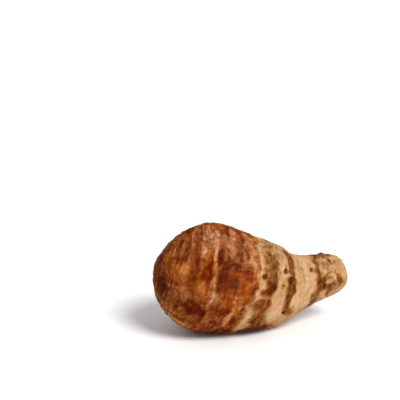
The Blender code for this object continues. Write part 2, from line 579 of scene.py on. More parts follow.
@dataclass(frozen=True)
class Band:
    """A corky band round the neck: (degrees, middle, half-width, strength) as it goes round."""

    course: Sequence[tuple[float, float, float, float]]
    edge: tuple[float, float] = (0.45, 1.3)
    frayed_by: float = 0.25
    pushed_mm: float = 0.3

    def share(self, places: Places, ragged: np.ndarray, aside: np.ndarray) -> np.ndarray:
        """How much of the band each place has, from the same values as a blotch."""
        course, degrees = np.array(self.course), np.degrees(places.angle)
        middle, half, strength = (
            np.interp(degrees, course[:, 0], course[:, column]) for column in (1, 2, 3)
        )
        away = np.abs(places.over - middle + self.pushed_mm * aside) / half + self.frayed_by * ragged
        return strength * (1.0 - eased(*self.edge, away))


@dataclass(frozen=True)
class RootScar:
    """Where a root broke off: its place on the skin and its radius in mm.

    Rise is how high its stump stands, and is negative for a pit.
    """

    over: float
    degrees: float
    radius: float
    rise: float = -0.25
    rim_height: float = 0.14
    rim_shade: float = 0.08
    pit_shade: float = -0.52
    # As shares of the radius: the middle and the width of the rim and of the pale ring round
    # it, and where the pit and its shade start to fade and where they have faded.
    rim: tuple[float, float] = (1.25, 0.4)
    pale_ring: tuple[float, float] = (1.8, 0.6)
    pit_edge: tuple[float, float] = (0.3, 1.1)
    shade_edge: tuple[float, float] = (0.45, 1.5)

    def relief(self, places: Places) -> HeightAndShade:
        """The height and the shade that it adds to the skin."""
        turned = turned_from(places.angle, self.degrees) * places.radius
        away = np.hypot(places.over - self.over, turned) / self.radius
        height = self.rim_height * ridge(away, *self.rim)
        height += self.rise * (1.0 - eased(*self.pit_edge, away))
        if self.rise > 0.0:
            return height, np.zeros(away.shape)
        pit = self.pit_shade * (1.0 - eased(*self.shade_edge, away))
        return height, self.rim_shade * ridge(away, *self.pale_ring) + pit


@dataclass(frozen=True)
class Freckles:
    """Patches of one tone that come by chance, as strong as on_bark and on_rind say."""

    tone: Tone
    relief: Relief
    on_bark: float
    on_rind: float
    edge: tuple[float, float] = (0.0, 0.55)

    def share(self, flat: np.ndarray, bark: np.ndarray) -> np.ndarray:
        """How much of the tone each flat place has, where bark says how much bark there is."""
        chance = eased(*self.edge, self.relief.at(flat))
        return chance * (self.on_bark * bark + self.on_rind * (1.0 - bark))


FRECKLES = (
    Freckles(Tone.RUST, Relief(4.2, 2.1, 27, 2), 0.75, 0.1),
    Freckles(Tone.PLUM, Relief(4.2, 2.1, 28, 2), 0.6, 0.0),
    Freckles(Tone.AMBER, Relief(4.2, 2.1, 29, 2), 0.35, 0.0),
    Freckles(Tone.PLUM, Relief(11.0, 5.5, 47, 2), 0.0, 0.55),
    Freckles(Tone.AMBER, Relief(12.0, 6.0, 48, 2), 0.0, 0.5),
)

# The patches of the side that no photo shows.
HIDDEN_PATCHES = {
    Tone.DARK: Relief(12.0, 7.0, 21, 2),
    Tone.PALE: Relief(14.0, 1.8, 22, 2),
    Tone.AMBER: Relief(11.0, 8.0, 23),
    Tone.RUST: Relief(12.0, 8.0, 24),
    Tone.PLUM: Relief(14.0, 9.0, 25),
    Tone.SPECKLE: Relief(9.0, 6.0, 26, 2),
}

BANDS = (
    Band((
        (-180.0, 62.5, 1.8, 0.5), (-62.0, 66.5, 6.0, 1.0), (-45.0, 65.4, 5.0, 0.95),
        (-30.0, 63.2, 4.2, 0.95), (-20.0, 62.2, 4.2, 1.0), (-9.0, 61.6, 5.0, 1.05),
        (-4.5, 61.5, 4.2, 0.9), (-1.0, 61.8, 1.9, 0.35), (3.5, 62.0, 3.6, 1.1),
        (12.0, 63.9, 3.2, 1.0), (24.0, 64.2, 2.9, 0.9), (40.0, 63.4, 3.2, 0.6),
        (55.0, 62.8, 2.8, 0.4), (90.0, 63.5, 1.8, 0.35), (140.0, 62.5, 2.2, 0.7),
        (180.0, 62.5, 1.8, 0.5),
    )),
    Band((
        (-180.0, 77.0, 1.8, 0.7), (-45.0, 82.0, 2.0, 0.2), (-31.0, 80.2, 3.6, 0.8),
        (-23.0, 77.6, 3.6, 1.05), (-15.0, 76.4, 2.5, 1.0), (-4.0, 76.8, 2.6, 1.0),
        (3.0, 78.1, 4.0, 1.1), (13.0, 77.3, 4.1, 1.1), (22.0, 76.8, 3.5, 1.1),
        (29.0, 76.8, 2.8, 0.95), (60.0, 77.0, 3.0, 0.95), (76.0, 77.0, 2.2, 0.6),
        (120.0, 77.0, 2.1, 0.7), (180.0, 77.0, 1.8, 0.7),
    )),
    Band((
        (-180.0, 96.5, 1.8, 0.6), (-48.0, 95.4, 1.8, 0.4), (-28.0, 95.8, 2.4, 0.8),
        (-15.0, 97.0, 3.0, 1.0), (-4.0, 98.9, 3.4, 1.05), (8.0, 98.6, 3.0, 1.05),
        (22.0, 96.6, 1.9, 1.0), (32.0, 96.0, 1.6, 1.0), (48.0, 96.4, 1.8, 1.05),
        (66.0, 95.2, 1.9, 0.9), (90.0, 96.5, 3.0, 0.6), (130.0, 96.5, 2.0, 0.6),
        (180.0, 96.5, 1.8, 0.6),
    )),
)

# The patches of the side that the photo shows, each row with the values of a Blotch: over,
# degrees, half_over, half_round and strength. A tone's rows run from the bud to the neck.
BLOTCHES: Mapping[Tone, Sequence[tuple[float, float, float, float, float]]] = {
    # Spurs of the corky bands, and the dark bark at the neck's end. (68, -55) is a brown
    # patch under the neck's start by the floor: partly its own colour, partly painted shade.
    Tone.BAND: (
        (60, -61, 5, 9, 1), (65, 4, 1.8, 5, 0.5), (68, -55, 7, 16, 1), (72.8, 38, 0.9, 5, 0.6),
        (74.6, 66, 2.2, 7, 0.7), (103, 88, 9.5, 16, 0.95), (103.2, -26, 0.9, 20, 1),
        (104, -20, 5, 12, 0.12), (104, -12, 2.6, 8, 0.45), (106.4, 60, 1.5, 8, 0.55),
        (108.6, 46, 1.4, 7, 0.6), (109.3, -5, 1.6, 10, 0.5),
    ),
    # The darkest middles of the bands.
    Tone.CORE: (
        (61, 5.5, 2.6, 3, 0.9), (64, -58, 8, 12, 1), (64, 9, 2.4, 8, 1), (74.6, 9, 1.2, 9, 0.8),
        (76.6, 21, 3, 5, 1), (77.4, -1, 2.6, 3, 0.8), (79.4, 8, 1.8, 9, 1.1),
    ),
    # Soil in the folds of the bark, and painted shade: the shadow in the folds, the bud end's
    # left side at (8, 20), the shadow of a neighbouring cormel at (24, 86), and the underside
    # by the floor at (38, -60) and (50, -58), which is partly soil and partly painted shade.
    Tone.DARK: (
        (8, 20, 5, 40, 0.4), (14, 52, 3.5, 10, 0.7), (16, -15, 6, 20, 1.4), (19.5, -46, 2.5, 7, 0.7),
        (20.5, -14, 2.5, 14, 0.5), (22, 60, 2, 12, 0.6), (23, -10, 8, 9, 0.3), (23.5, 34, 5.5, 4, 0.6),
        (24, 52, 9, 26, 0.3), (24, 86, 4, 9, 1), (25, 1, 6, 5, 0.4), (27, 4, 13, 28, 0.35),
        (31, 15, 2.2, 14, 1.1), (31.2, 56, 1.8, 24, 0.15), (34.9, -22, 6.5, 12, 1.35),
        (36.2, 20, 3, 13, 0.8), (38, -60, 4.5, 7, 0.9), (40.3, 34, 1.4, 9, 0.8), (40.5, -42, 2, 9, 0.7),
        (41.2, 17, 1.6, 8, 0.7), (41.2, 37, 2.2, 6, 0.7), (41.5, 42, 1.8, 16, 0.7), (42, -36, 2, 7, 0.7),
        (43, 12, 5, 15, 0.35), (44.8, -18, 4.8, 7.5, 1.5), (45.2, 31, 3.8, 5, 0.85),
        (45.5, 19, 9, 14, 0.65), (46.5, -4, 2.6, 5, 0.35), (48, -8, 3.6, 8, 0.3), (48, 50, 5, 14, 0.3),
        (50, -58, 13, 11, 1.3), (50, 28, 4.2, 4.5, 0.75), (52.6, -32, 3, 11, 1.35),
    ),
    # Frayed fibre on the bark's scars and folds, and rind that is rubbed bare. Some rows are
    # painted light: (87, 76) is a painted highlight on the neck's top, and (70, -22) and
    # (84, -22) paint the neck's lower side lighter.
    Tone.PALE: (
        (16, -46, 1.4, 10, 0.5), (20.4, 52, 1.2, 24, 0.6), (22, -4, 4.5, 2, 0.7), (22.5, -40, 5, 8, 0.5),
        (24.6, 50, 1.1, 22, 0.55), (25, -6, 4, 9, 0.35), (26, -48, 1, 14, 0.7), (26, -11, 1.2, 8, 0.6),
        (27.4, 21, 3.6, 9, 0.75), (27.6, -12, 4, 5, 0.5), (28.8, 58, 1.3, 26, 0.6),
        (29.5, -26, 2.2, 6, 0.8), (32, -57, 12, 8, 0.7), (33.4, 44, 1.3, 12, 1), (33.5, -52, 1, 12, 0.7),
        (34.9, 6, 1.7, 7, 0.25), (35.4, 70, 1.6, 8, 0.5), (35.5, 35, 1.8, 4, 0.35),
        (35.6, 66, 3.2, 9, 0.6), (36.5, -16, 1.5, 5, 0.8), (36.8, 60, 5, 20, 0.95), (38, 0, 2.2, 5, 0.7),
        (38.6, -26, 1.2, 20, 0.9), (38.9, 18, 1.1, 30, 1.15), (39.2, 38, 1, 10, 0.6),
        (39.2, 52, 2.2, 20, 0.3), (40, -4, 5, 8, 0.55), (40.8, -30, 1.1, 22, 0.9),
        (43.5, -14, 1.8, 10, 0.6), (44.2, 42, 1.6, 8, 0.5), (45.6, 56, 2, 22, 0.8),
        (49.2, -25, 1.5, 22, 1.5), (50, 0, 6, 2.2, 0.6), (50, 67, 2.6, 8, 0.5), (50.5, 76, 2, 7, 0.9),
        (51, 55, 1.6, 4, 0.3), (52, 29, 4, 1.6, 0.7), (52.6, 14, 2.4, 6, 0.5), (53.6, 42, 1.3, 9, 0.8),
        (54, -13, 3.8, 2.5, 0.9), (54.2, 48, 2.2, 18, 0.6), (54.6, -32, 1.6, 14, 0.9),
        (54.8, 60, 2.6, 26, 1.3), (56.8, 20, 0.6, 20, 0.7), (58, -36, 1.8, 26, 0.6), (61, -18, 2, 2, 0.9),
        (64.5, -34, 2.4, 7, 0.9), (64.5, 61, 2.2, 8, 0.9), (70, -22, 4, 24, 0.6), (77, 26.5, 4, 1.3, 1.6),
        (81.3, 9, 1.2, 7, 0.5), (84, -22, 9, 26, 0.5), (87, 76, 6, 18, 0.8),
    ),
    # Bark that is thin or rubbed, so that the flesh's warm colour shows.
    Tone.AMBER: (
        (16.5, 38, 4, 12, 0.8), (26.8, 15.5, 6.2, 15, 1.5), (31, -55, 14, 8, 0.7),
        (34.6, 4, 2.6, 10, 1.5), (35, 36, 1.8, 5, 0.8), (36, 82, 2.6, 7, 1), (41.6, 82, 2, 7, 0.8),
        (47, -5, 4, 7, 0.15), (49.6, -25, 2.2, 22, 0.5), (52.6, 14, 3, 7, 0.5), (78, -46, 7, 9, 0.6),
        (88.5, 32, 6, 18, 0.5),
    ),
    # Bark that the soil has stained red.
    Tone.RUST: (
        (25, -35, 5, 14, 0.5), (30, 34, 4, 6, 0.5), (34, -52, 7, 10, 0.4), (35, -24, 6, 10, 1),
        (36, 20, 4.5, 14, 1), (42.5, -46, 6, 12, 0.6), (44.8, -18, 5.5, 9, 1.2), (47.5, -9, 5, 11, 1.1),
        (52.5, -33, 3.6, 11, 1.2), (53.8, 10, 3, 18, 1), (62.5, -16, 4.4, 22, 1.1), (63.5, 7, 4, 8, 0.9),
        (67, -52, 8, 16, 1), (77, -14, 3.4, 12, 0.8), (79.5, -29, 3.6, 8, 1), (82, -22, 2, 7, 0.6),
        (98.5, 2, 2.6, 8, 0.6), (99, -6, 3.4, 12, 0.4), (103, 87, 10, 15, 0.6),
        (103.2, -24, 1.6, 20, 0.9),
    ),
    # Older bark, more grey and purple.
    Tone.PLUM: (
        (10, 60, 5, 30, 0.7), (24, -9, 8, 11, 0.8), (38, 60, 9, 20, 0.9), (40, -4, 5, 8, 0.8),
        (45, 19, 9, 14, 0.5), (48, 46, 8, 22, 1), (70, -26, 6, 18, 0.5), (88, 72, 6, 14, 0.4),
        (104, 9, 3.2, 26, 0.25),
    ),
    # Fine dark crust on the rind.
    Tone.SPECKLE: (
        (58.5, 58, 1.8, 14, 0.6), (60.2, 31, 2.6, 9, 0.7), (60.5, 44, 3, 16, 0.6), (62, 74, 6, 16, 0.7),
        (63.4, 34, 4.4, 26, 1), (66.5, 52, 4, 16, 0.4), (70, 22, 3, 14, 0.4), (70.5, 64, 4.5, 16, 0.6),
        (71, 13, 1.5, 5, 0.6), (73.4, 31, 2, 6, 0.8), (82, -22, 1.8, 7, 0.5), (85, 36, 4.5, 12, 0.3),
        (87, -34, 3.4, 14, 0.25), (90.5, -50, 5, 12, 0.6), (94.8, 31, 1.6, 7, 0.7),
        (97, -32, 3.4, 18, 0.9), (99.5, 46, 3.6, 22, 1), (100, 16, 3.4, 14, 1), (103, 84, 9, 18, 0.3),
        (104, 36, 4, 12, 0.4), (106, -14, 6, 18, 1.3), (106.5, 54, 4.5, 12, 1.2), (107, -19, 2.4, 9, 0.8),
        (107.6, 22, 1.2, 10, 0.8), (109.2, -4, 2.6, 16, 1.25), (112, 42, 3, 30, 0.45),
    ),
    # Skin that is rubbed smooth, or rougher than usual where it is less than 0.
    Tone.WORN: (
        (26, 50, 9, 24, 0.6), (27, 6, 10, 24, -0.9), (31, -28, 9, 20, -0.6), (45.2, 18, 2.6, 20, 1.1),
        (103.5, 88, 7, 26, 1.2),
    ),
}

ROOT_SCARS = (
    RootScar(59.9, 23.0, 1.4),
    RootScar(71.8, 32.5, 1.3),
    RootScar(92.2, 39.0, 1.35),
    RootScar(94.5, -43.0, 0.75),
    RootScar(71.0, 14.5, 0.5),
    RootScar(75.3, -25.0, 1.0),
    RootScar(112.4, 73.0, 0.8, 0.8),
    RootScar(115.4, 64.0, 0.7, 0.6),
    RootScar(61.5, 120.0, 0.9),
    RootScar(73.0, 150.0, 0.95),
    RootScar(59.5, 205.0, 0.9),
    RootScar(70.5, 232.0, 0.8),
    RootScar(84.0, 170.0, 0.9),
    RootScar(92.0, 128.0, 0.8),
    RootScar(90.5, 215.0, 0.9, 0.4),
)


def sum_of(parts: Mapping[Relief, np.ndarray]) -> HeightAndShade:
    """The height and the shade that some noises add together, each given with its values."""
    height = sum(relief.height * values for relief, values in parts.items())
    return height, sum(relief.shade * values for relief, values in parts.items())


@dataclass(frozen=True)
class PaperyBark:
    """The papery bark, whose raised folds and torn edges are pale.

    It lies in thin layers. Most_dark and its like are as much of a tone as can show, and
    dark_height, dark_shade and dark_calm are what all of it adds to the height in mm, adds
    to the shade and takes from the noises' contrast.
    """

    bend: Relief = Relief(7.0, 7.0, 31)
    bent_mm: tuple[float, float, float] = (1.2, 1.2, 2.4)
    folds: Relief = Relief(8.5, 2.7, 32, 2, 0.1, 0.12)
    wrinkles: Relief = Relief(5.5, 1.3, 36, 1, 0.06, 0.14)
    flakes: Relief = Relief(3.8, 3.0, 33, 2, 0.0, 0.17)
    clouds: Relief = Relief(9.0, 8.0, 34, 2, 0.0, 0.08)
    crumbs: Relief = Relief(1.6, 1.6, 38, 2, 0.04, 0.12)
    layers: Relief = Relief(6.0, 2.8, 35, 2, 0.1, 0.06)
    layer_steps: float = 2.2
    # Where the torn edge between two layers starts and ends, as a share of the step.
    torn_from: float = 0.3
    torn_to: float = 0.65
    # How wide the pale torn edge and its shadow are, and how strong the shadow is.
    torn_width: float = 0.2
    shadow_width: float = 0.18
    shadow_share: float = 0.8
    middle_shade: float = 0.42
    most_calm: float = 0.5
    worn_calm: float = 0.6
    most_dark: float = 1.5
    dark_height: float = -0.08
    dark_shade: float = -0.21
    dark_calm: float = 0.45
    most_pale: float = 1.3
    pale_height: float = 0.06
    pale_shade: float = 0.3
    pale_wrinkles: float = 0.1
    pale_crumbs: float = 0.12
    amber_shade: float = 0.05
    amber_calm: float = 0.5

    def at(self, flat: np.ndarray, tones: Tones) -> HeightAndShade:
        """Works out the bark at each place.

        Args:
            flat: The flat places.
            tones: How much of each tone there is.

        Returns:
            The height over the bark's middle in mm, and the shade.
        """
        bent = flat + self.bend.at(flat)[:, None] * self.bent_mm
        wrinkles, crumbs = self.wrinkles.at(bent), self.crumbs.at(flat)
        steps = self.layers.at(bent) * self.layer_steps
        past = steps - np.floor(steps)
        layers = (np.floor(steps) + eased(self.torn_from, self.torn_to, past)) / self.layer_steps
        shadow = self.shadow_share * ridge(past, self.torn_from, self.shadow_width)
        torn = ridge(past, self.torn_to, self.torn_width) - shadow
        height, shade = sum_of({
            self.folds: self.folds.at(bent),
            self.wrinkles: wrinkles,
            self.flakes: self.flakes.at(bent),
            self.clouds: self.clouds.at(flat),
            self.crumbs: crumbs,
        })
        dark, pale, amber = tones[Tone.DARK], tones[Tone.PALE], tones[Tone.AMBER]
        height += self.layers.height * layers + self.pale_height * pale + self.dark_height * dark
        shade += self.layers.shade * torn
        calm = np.maximum(self.dark_calm * dark, self.amber_calm * amber)
        shade *= (1.0 - np.minimum(calm, self.most_calm)) * (1.0 - self.worn_calm * tones[Tone.WORN])
        frayed = self.pale_shade + self.pale_wrinkles * wrinkles + self.pale_crumbs * crumbs
        shade += self.middle_shade + np.minimum(pale, self.most_pale) * frayed
        shade += np.minimum(dark, self.most_dark) * self.dark_shade + amber * self.amber_shade
        return height, shade


@dataclass(frozen=True)
class CorkyRind:
    """The corky rind of the neck, smooth but for its bands and its speckles.

    Its values are named as the bark's are.
    """

    waves: Relief = Relief(6.0, 4.5, 41, 2, 0.1, 0.1)
    rings: Relief = Relief(7.0, 1.3, 42, 2, 0.04, 0.07)
    pocks: Relief = Relief(2.2, 1.8, 43, 2, 0.03, 0.06)
    veins: Relief = Relief(4.0, 3.0, 44, 3)
    vein_width: float = 0.2
    crust: Relief = Relief(3.4, 1.5, 45, 3)
    middle_shade: float = 0.78
    most_band: float = 1.1
    band_height: float = 0.1
    band_shade: float = -0.46
    band_crust: float = -0.26
    band_rings: float = -0.16
    core_shade: float = -0.17
    core_calm: float = 0.6
    most_speckle: float = 1.15
    speckle_height: float = -0.06
    speckle_shade: float = -0.19
    speckle_veins: float = -0.05
    speckle_crust: float = -0.3
    # How much of the speckles a band hides.
    band_hides: float = 0.5
    pale_shade: float = 0.16

    def at(self, flat: np.ndarray, tones: Tones) -> HeightAndShade:
        """Works out the rind at each place.

        Args:
            flat: The flat places.
            tones: How much of each tone there is.

        Returns:
            The height over the rind's middle in mm, and the shade.
        """
        rings, crust = self.rings.at(flat), self.crust.at(flat)
        veins = bell(self.veins.at(flat) / self.vein_width)
        band = np.minimum(tones[Tone.BAND], self.most_band)
        core = np.minimum(tones[Tone.CORE], 1.0)
        speckle = np.minimum(tones[Tone.SPECKLE], self.most_speckle)
        speckle = speckle * (1.0 - self.band_hides * np.minimum(band, 1.0))
        rough = 1.0 - np.clip(tones[Tone.WORN], 0.0, 1.0)
        height, shade = sum_of({
            self.waves: self.waves.at(flat), self.rings: rings, self.pocks: self.pocks.at(flat),
        })
        height += rough * band * self.band_height * (1.0 + crust)
        height += speckle * self.speckle_height * veins
        shade += self.middle_shade + core * self.core_shade + tones[Tone.PALE] * self.pale_shade
        grain = self.speckle_veins * veins + self.speckle_crust * crust
        shade += speckle * (self.speckle_shade + grain)
        grain = self.band_crust * crust + self.band_rings * rings
        shade += band * (self.band_shade + grain * (1.0 - self.core_calm * core))
        return height, shade


@dataclass
class Surface:
    """What the skin is like at each of many places.

    Height is over the smooth form in mm, shade runs from 0 where it is darkest to 1 where
    it is palest, and tones say how much of each there is.
    """

    height: np.ndarray
    shade: np.ndarray
    tones: Tones


@dataclass
class SkinPattern:
    """The rule that says what the skin is like at each place."""

    form: CormelForm
    bark: PaperyBark = PaperyBark()
    rind: CorkyRind = CorkyRind()
    ragged: Relief = Relief(3.2, 2.4, 11, 3)
    aside: Relief = Relief(5.0, 5.0, 12, 2)
    bark_ends: float = 56.3
    bark_edge: float = 0.8
    bark_frayed_by: float = 0.9
    bark_pushed_by: float = 0.4
    # How much further the bark reaches, by the degrees round.
    bark_reach: Table = (
        (-180.0, 1.2), (-166.0, -0.9), (-149.0, 1.7), (-131.0, -1.3), (-119.0, 0.7),
        (-103.0, -1.5), (-84.0, 0.9), (-60.0, 0.0), (-18.0, 0.0), (4.0, 1.6), (32.0, 1.6),
        (60.0, 0.0), (78.0, 1.1), (92.0, -1.3), (101.0, 0.8), (118.0, -0.7), (129.0, 1.9),
        (146.0, -1.2), (158.0, 0.4), (168.0, -0.8), (180.0, 1.2),
    )
    bark_thickness: float = 0.25
    edge_curl: float = 0.8
    edge_shade: float = 0.15
    edge_broken_shade: float = 0.25
    # The photo looks at the cormel from this many degrees round. It shows a place where the
    # cosine of the turn from there is over the first value of the edge, and hides it where
    # the cosine is under the second.
    seen_from: float = 18.0
    seen_edge: tuple[float, float] = (0.15, -0.25)
    hidden_edge: tuple[float, float] = (0.1, 0.6)
    wobble: Relief = Relief(3.5, 3.5, 50, 2, 0.5)
    breaks: Relief = Relief(4.5, 2.5, 51, 2)
    broken_edge: tuple[float, float] = (-0.5, 0.6)
    beads: Relief = Relief(2.2, 1.8, 52, 2)
    beads_edge: tuple[float, float] = (-0.5, 0.4)
    lip_share: float = 0.4
    lip_shade: float = 0.17
    least_lip: float = 0.3
    least_fray: float = 0.2
    groove_share: float = 0.4
    groove_shade: float = -0.13
    most_groove: float = 1.1
    # How calm a leaf scar lies under all of a tone, and how much flatter calm makes it.
    dark_calm: float = 0.6
    amber_calm: float = 0.7
    most_calm: float = 0.7
    worn_calm: float = 0.9
    calm_flattens: float = 0.8
    bud_height: float = 0.9
    bud_reach: float = 2.4
    # Where the scar from the mother lies: over the surface, degrees round and its radius.
    end_scar: tuple[float, float, float] = (104.2, 9.0, 1.8)
    end_scar_stretch: float = 1.4
    end_scar_fray: Relief = Relief(2.6, 2.6, 61, 2, 0.4)
    end_scar_wear: Relief = Relief(3.0, 3.0, 62, 2)
    end_wear_edge: tuple[float, float] = (-0.5, 0.5)
    end_least_worn: float = 0.5
    end_more_worn: float = 0.7
    end_rim: float = 0.1
    end_rim_width: float = 0.6
    end_ditch: float = -0.2
    # How far out from the rim the ditch lies.
    end_ditch_out: float = 1.1
    end_pit: float = -0.46
    end_pit_radius: float = 1.05
    end_shade: float = 0.8
    end_broken_shade: float = 0.5
    break_reach: float = 5.2
    break_fray: Relief = Relief(3.0, 3.0, 63, 2, 1.1)
    pith: Relief = Relief(1.5, 1.5, 64, 3, 0.2, 0.22)
    break_depth: float = -0.25
    break_shade: float = -0.2
    # How far past its reach the scar starts to fade and has faded.
    break_edge: tuple[float, float] = (-0.9, 0.4)
    break_rim: float = 0.14
    break_rim_shade: float = -0.12
    # How far past the scar's reach its rim lies.
    break_rim_out: float = 0.7
    break_rim_width: float = 0.6

    def tones(self, places: Places) -> Tones:
        """How much of each tone the skin has at each place, with 1 for all of it."""
        ragged, aside = self.ragged.at(places.flat), self.aside.at(places.flat)
        found = {tone: np.zeros(places.over.shape) for tone in Tone}
        past = places.over - self.bark_ends - table_values(self.bark_reach, np.degrees(places.angle))
        past += self.bark_frayed_by * ragged + self.bark_pushed_by * aside
        found[Tone.BARK] = 1.0 - eased(-self.bark_edge, self.bark_edge, past)
        marks = [(tone, Blotch(*row)) for tone, rows in BLOTCHES.items() for row in rows]
        for tone, mark in marks + [(Tone.BAND, band) for band in BANDS]:
            found[tone] += mark.share(places, ragged, aside)
        # The hidden side has patches by chance.
        seen, unseen = self.seen_edge
        facing = np.cos(places.angle - math.radians(self.seen_from))
        hidden = 1.0 - eased(unseen, seen, facing)
        for tone, relief in HIDDEN_PATCHES.items():
            found[tone] += hidden * eased(*self.hidden_edge, relief.at(places.flat))
        for freckles in FRECKLES:
            found[freckles.tone] += freckles.share(places.flat, found[Tone.BARK])
        return found

    def leaf_scars(self, places: Places, broken: np.ndarray, tones: Tones) -> HeightAndShade:
        """The leaf scars, whose lips are frayed.

        Args:
            places: The places.
            broken: How much of the lips is left, from 0 to 1.
            tones: How much of each tone there is.

        Returns:
            The height in mm that they add, and the shade that they add to bark.
        """
        over = places.over + self.wobble.height * self.wobble.at(places.flat)
        lips, grooves = self.form.scars(over, places.angle)
        beads = eased(*self.beads_edge, self.beads.at(places.flat))
        calm = np.maximum(self.dark_calm * tones[Tone.DARK], self.amber_calm * tones[Tone.AMBER])
        worn = self.worn_calm * np.minimum(tones[Tone.WORN], 1.0)
        calm = np.maximum(np.minimum(calm, self.most_calm), worn)
        height = lips * (self.least_lip + broken) * self.lip_share - grooves * self.groove_share
        frayed = lips * (self.least_fray + broken * beads) / self.form.lip_height
        shade = self.lip_shade * frayed * (1.0 - calm)
        # The grooves are painted darker: painted shade in the hollow beside each lip.
        shade += self.groove_shade * grooves * (self.most_groove - broken) / self.form.groove_depth
        return height * (1.0 - self.calm_flattens * calm), shade

    def end_scar_rings(self, places: Places) -> np.ndarray:
        """The height of the rings where the cormel broke from its mother."""
        middle, degrees, size = self.end_scar
        turned = turned_from(places.angle, degrees)
        turned *= np.maximum(places.radius, self.form.relief_fades_below)
        away = np.hypot((places.over - middle) / self.end_scar_stretch, turned)
        away = away + self.end_scar_fray.height * self.end_scar_fray.at(places.flat)
        worn = eased(*self.end_wear_edge, self.end_scar_wear.at(places.flat))
        rim = self.end_rim * ridge(away, size, self.end_rim_width)
        ditch = self.end_ditch * ridge(away - size, self.end_ditch_out, self.end_rim_width)
        pit = self.end_pit * bell(away / self.end_pit_radius)
        return (rim + (ditch + pit)) * (self.end_least_worn + self.end_more_worn * worn)

    def break_scar(self, places: Places) -> HeightAndShade:
        """The rough scar on the neck's end: the height and the shade that it adds."""
        fray = self.break_fray.height * self.break_fray.at(places.flat)
        away = self.form.length - places.over + fray
        fades, faded = (self.break_reach + past for past in self.break_edge)
        share = 1.0 - eased(fades, faded, away)
        rim = ridge(away - self.break_reach, self.break_rim_out, self.break_rim_width)
        pith_height, pith_shade = sum_of({self.pith: self.pith.at(places.flat)})
        height = share * (pith_height + self.break_depth) + self.break_rim * rim
        return height, share * (pith_shade + self.break_shade) + self.break_rim_shade * rim

    def at(self, over: np.ndarray, angle: np.ndarray) -> Surface:
        """Works out the surface at each distance over it and angle round, in radians."""
        places = self.form.places(over, angle)
        tones = self.tones(places)
        broken = eased(*self.broken_edge, self.breaks.at(places.flat))
        bark_height, bark_shade = self.bark.at(places.flat, tones)
        rind_height, rind_shade = self.rind.at(places.flat, tones)
        leaf_height, leaf_shade = self.leaf_scars(places, broken, tones)
        share = tones[Tone.BARK]
        edge = 4.0 * share * (1.0 - share)
        bark_height += self.bark_thickness * (1.0 + self.edge_curl * edge)
        bark_shade += leaf_shade + edge * (self.edge_shade + self.edge_broken_shade * broken)
        height = share * bark_height + (1.0 - share) * rind_height + leaf_height
        shade = share * bark_shade + (1.0 - share) * rind_shade
        for scar in ROOT_SCARS:
            scar_height, scar_shade = scar.relief(places)
            height += scar_height
            shade += scar_shade
        rings = self.end_scar_rings(places)
        height += rings + self.form.swelling_height(over, angle, places.radius)
        bud = self.bud_height * bell(over / self.bud_reach)
        height = height * self.form.fade(places.radius) + bud
        break_height, break_shade = self.break_scar(places)
        shade += rings * (self.end_shade + self.end_broken_shade * broken) + break_shade
        return Surface(height + break_height, np.clip(shade, 0.0, 1.0), tones)


@dataclass(frozen=True)
class Grain:
    """A fine pattern of the skin, with the real size of its features in mm.

    Round is the size the way that the leaf scars run, and along is the size from the bud
    towards the neck. Threads makes fine lines of it instead of patches.
    """

    round_mm: float
    along_mm: float
    detail: float = 2.0
    threads: bool = False
    thread_width: float = 0.16


@dataclass(frozen=True)
class Coat:
    """The colours of one kind of skin, from where it is darkest to where it is palest.

    It lies over the coats before it, from where the weighted sum of the signals in where
    passes starts to where it passes full. Its colour is looked up by the sum of reads.
    """

    stops: Sequence[tuple[float, str]]
    reads: Mapping[str, float]
    where: Mapping[str, float] = field(default_factory=dict)
    starts: float = 0.0
    full: float = 1.0


GRAINS = {
    # Fine ridges run round the cormel. Real ones are 0.2 mm wide, too fine to show.
    "lines": Grain(6.0, 0.5),
    # Fibres are 0.1 mm thick. They are drawn 0.3 mm thick, so that they show.
    "fibres": Grain(2.0, 5.0, 2.0, True),
    "web": Grain(4.0, 2.0, 3.0, True),
    # Crumbs of cork and soil, about half a mm.
    "crumbs": Grain(0.9, 0.7, 3.0),
    "patches": Grain(2.4, 1.8, 3.0),
}

# How far apart in the noise the grains are read: round, across and along.
GRAINS_APART = (3.7, 1.3, 7.1)

# How the grains change the shade of papery bark and of corky rind.
BARK_READS = {"shade": 1.0, "lines": 0.05, "fibres": 0.05, "web": 0.04, "crumbs": 0.05, "patches": 0.05}
RIND_READS = {"shade": 1.0, "lines": 0.03, "crumbs": 0.04, "patches": 0.04}


